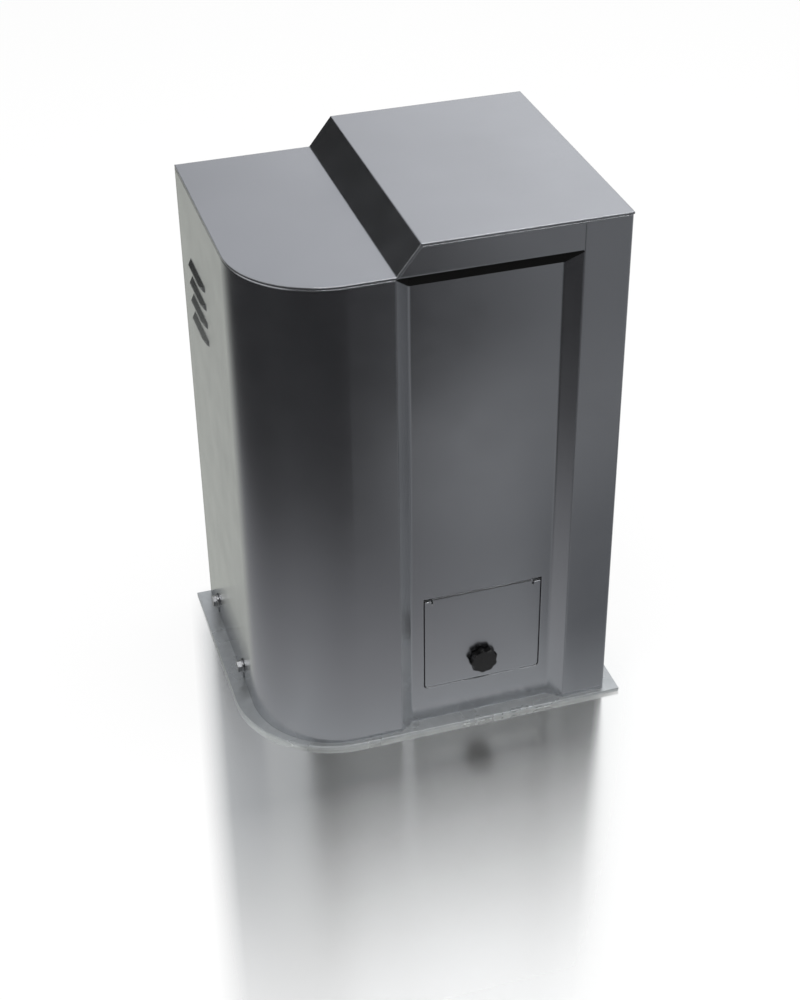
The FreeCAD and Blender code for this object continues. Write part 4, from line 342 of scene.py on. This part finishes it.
def wound_tape():
    """Overlapping turns of yellow tape round the ring core."""
    material, tree, shader = new_material("tape_yellow")
    turns = 36
    low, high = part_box("transformer")
    middle = (low + high) / 2
    source = add(tree, "ShaderNodeTexCoord")
    centred = add(tree, "ShaderNodeVectorMath", operation="SUBTRACT")
    centred.inputs[1].default_value = middle
    tree.links.new(source.outputs["Object"], centred.inputs[0])
    split = add(tree, "ShaderNodeSeparateXYZ")
    tree.links.new(centred.outputs["Vector"], split.inputs["Vector"])
    angle = calc(tree, "ARCTAN2", split.outputs["Y"], split.outputs["Z"])
    step = calc(tree, "FRACT", calc(tree, "MULTIPLY", angle, turns / math.tau))
    # Each turn starts with a darker band: painted shade along the step where the turns overlap.
    tone = ramp(tree, step, [(0.0, (0.3, 0.2, 0.03)), (0.12, (0.62, 0.44, 0.07)), (1.0, (0.55, 0.38, 0.05))])
    tree.links.new(tone, shader.inputs["Base Color"])
    shader.inputs["Roughness"].default_value = 0.32
    rounded_normal(tree, shader, 0.002, [(step, 0.0004)])
    return material


MATERIALS = {
    "cover_paint": cover_paint(),
    "zinc_steel": zinc(),
    "screw_steel": machined("screw_steel", (0.36, 0.365, 0.375), 0.3),
    "black_plastic": plastic("black_plastic", (0.003, 0.003, 0.003), 0.13, 0.000001, edge=0.0009),
    # rubber_black also dresses the hood_shade_strip, the painted shade under the hood band.
    "rubber_black": plastic("rubber_black", (0.005, 0.005, 0.005), 0.75, 0.00008, specular=0.1),
    "cast_alloy": cast_alloy(),
    "ground_steel": machined("ground_steel", (0.45, 0.46, 0.47), 0.24),
    "bronze": machined("bronze", (0.55, 0.33, 0.11), 0.3),
    "core_steel": laminated_core(),
    "copper_wire": copper_wire(),
    "dark_plastic": plastic("dark_plastic", (0.03, 0.03, 0.033), 0.45),
    "grip_red": plastic("grip_red", (0.42, 0.02, 0.015), 0.4),
    "board_green": board_green(),
    "terminal_green": plastic("terminal_green", (0.04, 0.24, 0.08), 0.38),
    "tape_yellow": wound_tape(),
    "can_alloy": machined("can_alloy", (0.62, 0.63, 0.64), 0.22),
}


def dress_nodes():
    """Every carried-over part takes the material of its slot."""
    slots = {entry["node"]: entry["material_slot"] for entry in frame["record"]["subparts"]}
    for name, node in frame["nodes"].items():
        node.data.materials.clear()
        node.data.materials.append(MATERIALS[slots[name]])


# ---------------------------------------------------------------- pieces
def piece_from(name, mesh_maker, body, material):
    """A new piece: a mesh built with bmesh, riding on a body."""
    mesh = bpy.data.meshes.new(name)
    work = bmesh.new()
    mesh_maker(work)
    bmesh.ops.recalc_face_normals(work, faces=work.faces)
    work.to_mesh(mesh)
    work.free()
    mesh.materials.append(MATERIALS[material])
    piece = bpy.data.objects.new(name, mesh)
    bpy.context.collection.objects.link(piece)
    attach(piece, body)
    return piece


def hood_shade_strip():
    """Black strip of painted shade under the hood's front band, where the band shades the recess panel; it
    thins out along both sloping flanks as that shade does.
    """
    low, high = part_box("cover_recess_panel")
    flank_run = 0.013
    flank_depth = 0.0095
    shade_strip_height = 0.012
    tip_height = 0.0003
    proud = 0.0006
    thick = 0.0005
    gap_above = 0.0002
    top = high[2] - gap_above
    sunk = low[1] + flank_depth
    plan = [
        (low[0], low[1], tip_height), (low[0] + flank_run, sunk, shade_strip_height),
        (high[0] - flank_run, sunk, shade_strip_height), (high[0], low[1], tip_height),
    ]

    def build(work):
        rows = []
        for x, y, fall in plan:
            rows.append([work.verts.new((x, y - proud + back, z)) for back, z in
                         ((0, top), (0, top - fall), (thick, top - fall), (thick, top))])
        for first, second in zip(rows, rows[1:]):
            for index in range(4):
                after = (index + 1) % 4
                work.faces.new((first[index], first[after], second[after], second[index]))
        work.faces.new(rows[0])
        work.faces.new(rows[-1])

    # The strip is a dark sheet put where there is only shade, dressed in rubber_black.
    piece_from("hood_shade_strip", build, "cover", "rubber_black")


# ---------------------------------------------------------------- stage
def camera():
    data = bpy.data.cameras.new("studio_camera")
    data.lens = CAMERA_LENS
    data.sensor_width = 36
    data.clip_start = 0.05
    data.clip_end = 100
    eye = bpy.data.objects.new("studio_camera", data)
    turn = Matrix.Rotation(math.radians(CAMERA_AZIMUTH), 4, "Z")
    tilt = Matrix.Rotation(math.radians(90 - CAMERA_ELEVATION), 4, "X")
    roll = Matrix.Rotation(math.radians(CAMERA_ROLL), 4, "Z")
    eye.matrix_world = Matrix.Translation(CAMERA_SPOT) @ turn @ tilt @ roll
    bpy.context.collection.objects.link(eye)
    bpy.context.scene.camera = eye


def seen_rays(tree):
    """One where a camera, glossy or transmission ray looks, zero for diffuse light."""
    path = add(tree, "ShaderNodeLightPath")
    mirrored = calc(tree, "MAXIMUM", path.outputs["Is Glossy Ray"], path.outputs["Is Transmission Ray"])
    return calc(tree, "MAXIMUM", path.outputs["Is Camera Ray"], mirrored)


def world():
    """White where it is seen or mirrored, and a soft grey fill for diffuse light."""
    sky = bpy.data.worlds.new("studio")
    bpy.context.scene.world = sky
    sky.use_nodes = True
    tree = sky.node_tree
    background = tree.nodes["Background"]
    background.inputs["Color"].default_value = (1, 1, 1, 1)
    tree.links.new(spread(tree, seen_rays(tree), 0.45, 1.0, 0, 1), background.inputs["Strength"])


def sheet_object(name, corners):
    mesh = bpy.data.meshes.new(name)
    mesh.from_pydata(corners, [], [tuple(range(len(corners)))])
    sheet = bpy.data.objects.new(name, mesh)
    bpy.context.collection.objects.link(sheet)
    return sheet


def level_card(name, half, height):
    """Level square card round the origin."""
    return sheet_object(name, [(-half, -half, height), (half, -half, height), (half, half, height),
                               (-half, half, height)])


def leaning_card(name, left, right, foot, head):
    """Flat card from X left to X right, between two level edges given as (y, z)."""
    return sheet_object(name, [(left, *foot), (right, *foot), (right, *head), (left, *head)])


def plan_axes(tree):
    """The X and Y coordinates on a card or on the floor."""
    split = add(tree, "ShaderNodeSeparateXYZ")
    tree.links.new(place_coordinates(tree), split.inputs["Vector"])
    return split.outputs["X"], split.outputs["Y"]


def past_line(tree, x, y, line):
    """How far right a place on the floor is of a slanted edge of the floor's glossy patch."""
    line_x, line_y, lean = line
    along = calc(tree, "MULTIPLY", calc(tree, "SUBTRACT", y, line_y), lean)
    return calc(tree, "SUBTRACT", calc(tree, "SUBTRACT", x, line_x), along)


def floor():
    """White floor that keeps the object's soft shadow, glossy in a patch in front of the object."""
    sheet = level_card("floor", FLOOR_HALF, 0)
    material, tree, shader = new_material("floor")
    tree.nodes.remove(shader)
    output = tree.nodes["Material Output"]
    lit = add(tree, "ShaderNodeBsdfDiffuse")
    lit.inputs["Color"].default_value = (0.9, 0.9, 0.895, 1)
    glow = add(tree, "ShaderNodeEmission")
    glow.inputs["Strength"].default_value = 1.0
    pale = add(tree, "ShaderNodeMixShader")
    tree.links.new(spread(tree, seen_rays(tree), 0.0, 0.84, 0, 1), pale.inputs["Fac"])
    tree.links.new(lit.outputs["BSDF"], pale.inputs[1])
    tree.links.new(glow.outputs["Emission"], pale.inputs[2])
    mirror = add(tree, "ShaderNodeBsdfGlossy")
    mirror.inputs["Roughness"].default_value = 0.2
    mirror.inputs["Color"].default_value = (0.84, 0.85, 0.83, 1)
    x, y = plan_axes(tree)
    deeper = calc(tree, "MULTIPLY", calc(tree, "LESS_THAN", x, DEEP_SIDE), DEEPER_BY)
    near_end = spread(tree, y, 0.0, PATCH_GLOSS, *NEAR_FADE)
    far_end = spread(tree, calc(tree, "SUBTRACT", y, deeper), 1, 0, *FAR_FADE)
    left_end = spread(tree, past_line(tree, x, y, PATCH_LEFT), 0, 1, *LEFT_FADE)
    right_end = spread(tree, past_line(tree, x, y, PATCH_RIGHT), 1, 0, *RIGHT_FADE)
    whole = add(tree, "ShaderNodeMixShader")
    tree.links.new(product(tree, near_end, far_end, left_end, right_end), whole.inputs["Fac"])
    tree.links.new(pale.outputs["Shader"], whole.inputs[1])
    tree.links.new(mirror.outputs["BSDF"], whole.inputs[2])
    tree.links.new(whole.outputs["Shader"], output.inputs["Surface"])
    sheet.data.materials.append(material)


def reflection_only(sheet):
    """A studio card that shows only in the object's gloss."""
    sheet.visible_camera = False
    sheet.visible_diffuse = False
    sheet.visible_shadow = False
    sheet.visible_transmission = False
    sheet.visible_volume_scatter = False


def glow_material(name, tone, cover=None):
    """Light of the given tone, let through where cover falls to zero."""
    material, tree, shader = new_material(name)
    tree.nodes.remove(shader)
    glow = add(tree, "ShaderNodeEmission")
    surface = glow.outputs["Emission"]
    x, y = plan_axes(tree)
    tree.links.new(tone(tree, x, y), glow.inputs["Color"])
    if cover:
        clear = add(tree, "ShaderNodeBsdfTransparent")
        whole = add(tree, "ShaderNodeMixShader")
        tree.links.new(cover(tree, x, y), whole.inputs["Fac"])
        tree.links.new(clear.outputs["BSDF"], whole.inputs[1])
        tree.links.new(surface, whole.inputs[2])
        surface = whole.outputs["Shader"]
    tree.links.new(surface, tree.nodes["Material Output"].inputs["Surface"])
    return material


def front_card():
    """Graduated card round the object at the left and in front: pale at the object, dark farther out."""
    sheet = level_card("front_card", CARD_HALF, CARD_HEIGHT)

    def tone(tree, x, y):
        beside = calc(tree, "MAXIMUM", calc(tree, "SUBTRACT", LEFT_WALL, x), 0.0)
        ahead = calc(tree, "MAXIMUM", calc(tree, "SUBTRACT", FRONT_LINE, y), 0.0)
        squares = [calc(tree, "POWER", value, 2.0) for value in (beside, ahead)]
        away = calc(tree, "SQRT", calc(tree, "ADD", *squares))
        stripe = calc(tree, "SUBTRACT", x, calc(tree, "MULTIPLY", ahead, STRIPE_SLANT))
        striped = spread(tree, stripe, 0, 1, *STRIPE_BLEND)
        right_tone = mixed(tree, striped, ramp(tree, away, PLAIN_TONES), ramp(tree, away, STRIPE_TONES))
        dark_border = spread(tree, y, *DARK_BORDER_X, *DARK_BORDER_Y)
        right = spread(tree, calc(tree, "SUBTRACT", x, dark_border), 0, 1, *DARK_BLEND)
        front_tone = mixed(tree, right, ramp(tree, away, DARK_TONES), right_tone)
        front = spread(tree, turn_about(tree, x, y), 0, 1, *SIDE_BLEND)
        return mixed(tree, front, SIDE_TONE, front_tone)

    def cover(tree, x, y):
        left_side = spread(tree, x, 1, 0, *CARD_LEFT_END)
        front_side = spread(tree, y, 1, 0, *CARD_FRONT_END)
        upper_face = calc(tree, "SUBTRACT", 1.0, add(tree, "ShaderNodeNewGeometry").outputs["Backfacing"])
        return product(tree, calc(tree, "MAXIMUM", left_side, front_side), upper_face)

    sheet.data.materials.append(glow_material("front_card", tone, cover))
    reflection_only(sheet)


def turn_about(tree, x, y):
    """Direction from the start of the round corner in degrees: zero at front left, jump at back right."""
    zero = math.radians(240)
    dx = calc(tree, "SUBTRACT", x, CORNER_START[0])
    dy = calc(tree, "SUBTRACT", y, CORNER_START[1])
    along = calc(tree, "ADD", product(tree, dx, math.cos(zero)), product(tree, dy, math.sin(zero)))
    across = calc(tree, "SUBTRACT", product(tree, dy, math.cos(zero)), product(tree, dx, math.sin(zero)))
    return calc(tree, "DEGREES", calc(tree, "ARCTAN2", across, along))


def dark_card(name, *place):
    """Black card that shows only in the gloss."""
    sheet = leaning_card(name, *place)
    material, tree, shader = new_material(name)
    shader.inputs["Base Color"].default_value = (0.008, 0.008, 0.008, 1)
    shader.inputs["Roughness"].default_value = 0.9
    sheet.data.materials.append(material)
    reflection_only(sheet)


def dark_cards():
    """One behind at the left for the slope of the hood, one high in front for the floor's mirror image."""
    dark_card("back_card", -3.6, -0.12, (1.5, 0), (1.5, 1.3))
    dark_card("high_card", -3, 3.5, (-2.4, 0.2), (-2.2, 3.3))


def edge_card():
    """Bright panel high in front, mirrored by rounded edges."""
    sheet = leaning_card("edge_card", -0.6, 1.5, (-1.75, 2.55), (-0.5, 3.0))
    material, tree, shader = new_material("edge_card")
    tree.nodes.remove(shader)
    glow = add(tree, "ShaderNodeEmission")
    glow.inputs["Strength"].default_value = 6
    tree.links.new(glow.outputs["Emission"], tree.nodes["Material Output"].inputs["Surface"])
    sheet.data.materials.append(material)
    reflection_only(sheet)


def sky_card():
    """Soft light high behind, brighter to the right, mirrored by the roof sheets."""
    sheet = leaning_card("sky_card", -3, 5, (3, 1.3), (2.2, 4.5))

    def tone(tree, x, y):
        return ramp(tree, spread(tree, x, 0, 1, 0.2, 1.4), [
            (0.0, (0.62, 0.63, 0.66)), (1.0, (1.1, 1.11, 1.14)),
        ])

    sheet.data.materials.append(glow_material("sky_card", tone))
    reflection_only(sheet)


def lamp(name, spot, aim, size, watts):
    data = bpy.data.lights.new(name, "AREA")
    data.shape = "RECTANGLE"
    data.size, data.size_y = size
    data.energy = watts
    light = bpy.data.objects.new(name, data)
    light.location = spot
    light.rotation_euler = (Vector(aim) - Vector(spot)).to_track_quat("-Z", "Y").to_euler()
    light.visible_glossy = False
    bpy.context.collection.objects.link(light)


def lamps():
    lamp("key", (-1.4, -1.8, 2.8), (0, 0, 0.25), (2.6, 2.6), 48)
    lamp("top", (0.2, 0.4, 3.0), (0, 0, 0.25), (3.0, 3.0), 62)
    lamp("fill", (2.2, -1.2, 2.0), (0, 0, 0.2), (2.2, 2.2), 24)


dress_nodes()
hood_shade_strip()
camera()
world()
floor()
front_card()
dark_cards()
sky_card()
edge_card()
lamps()
bpy.context.scene.view_settings.view_transform = "Standard"
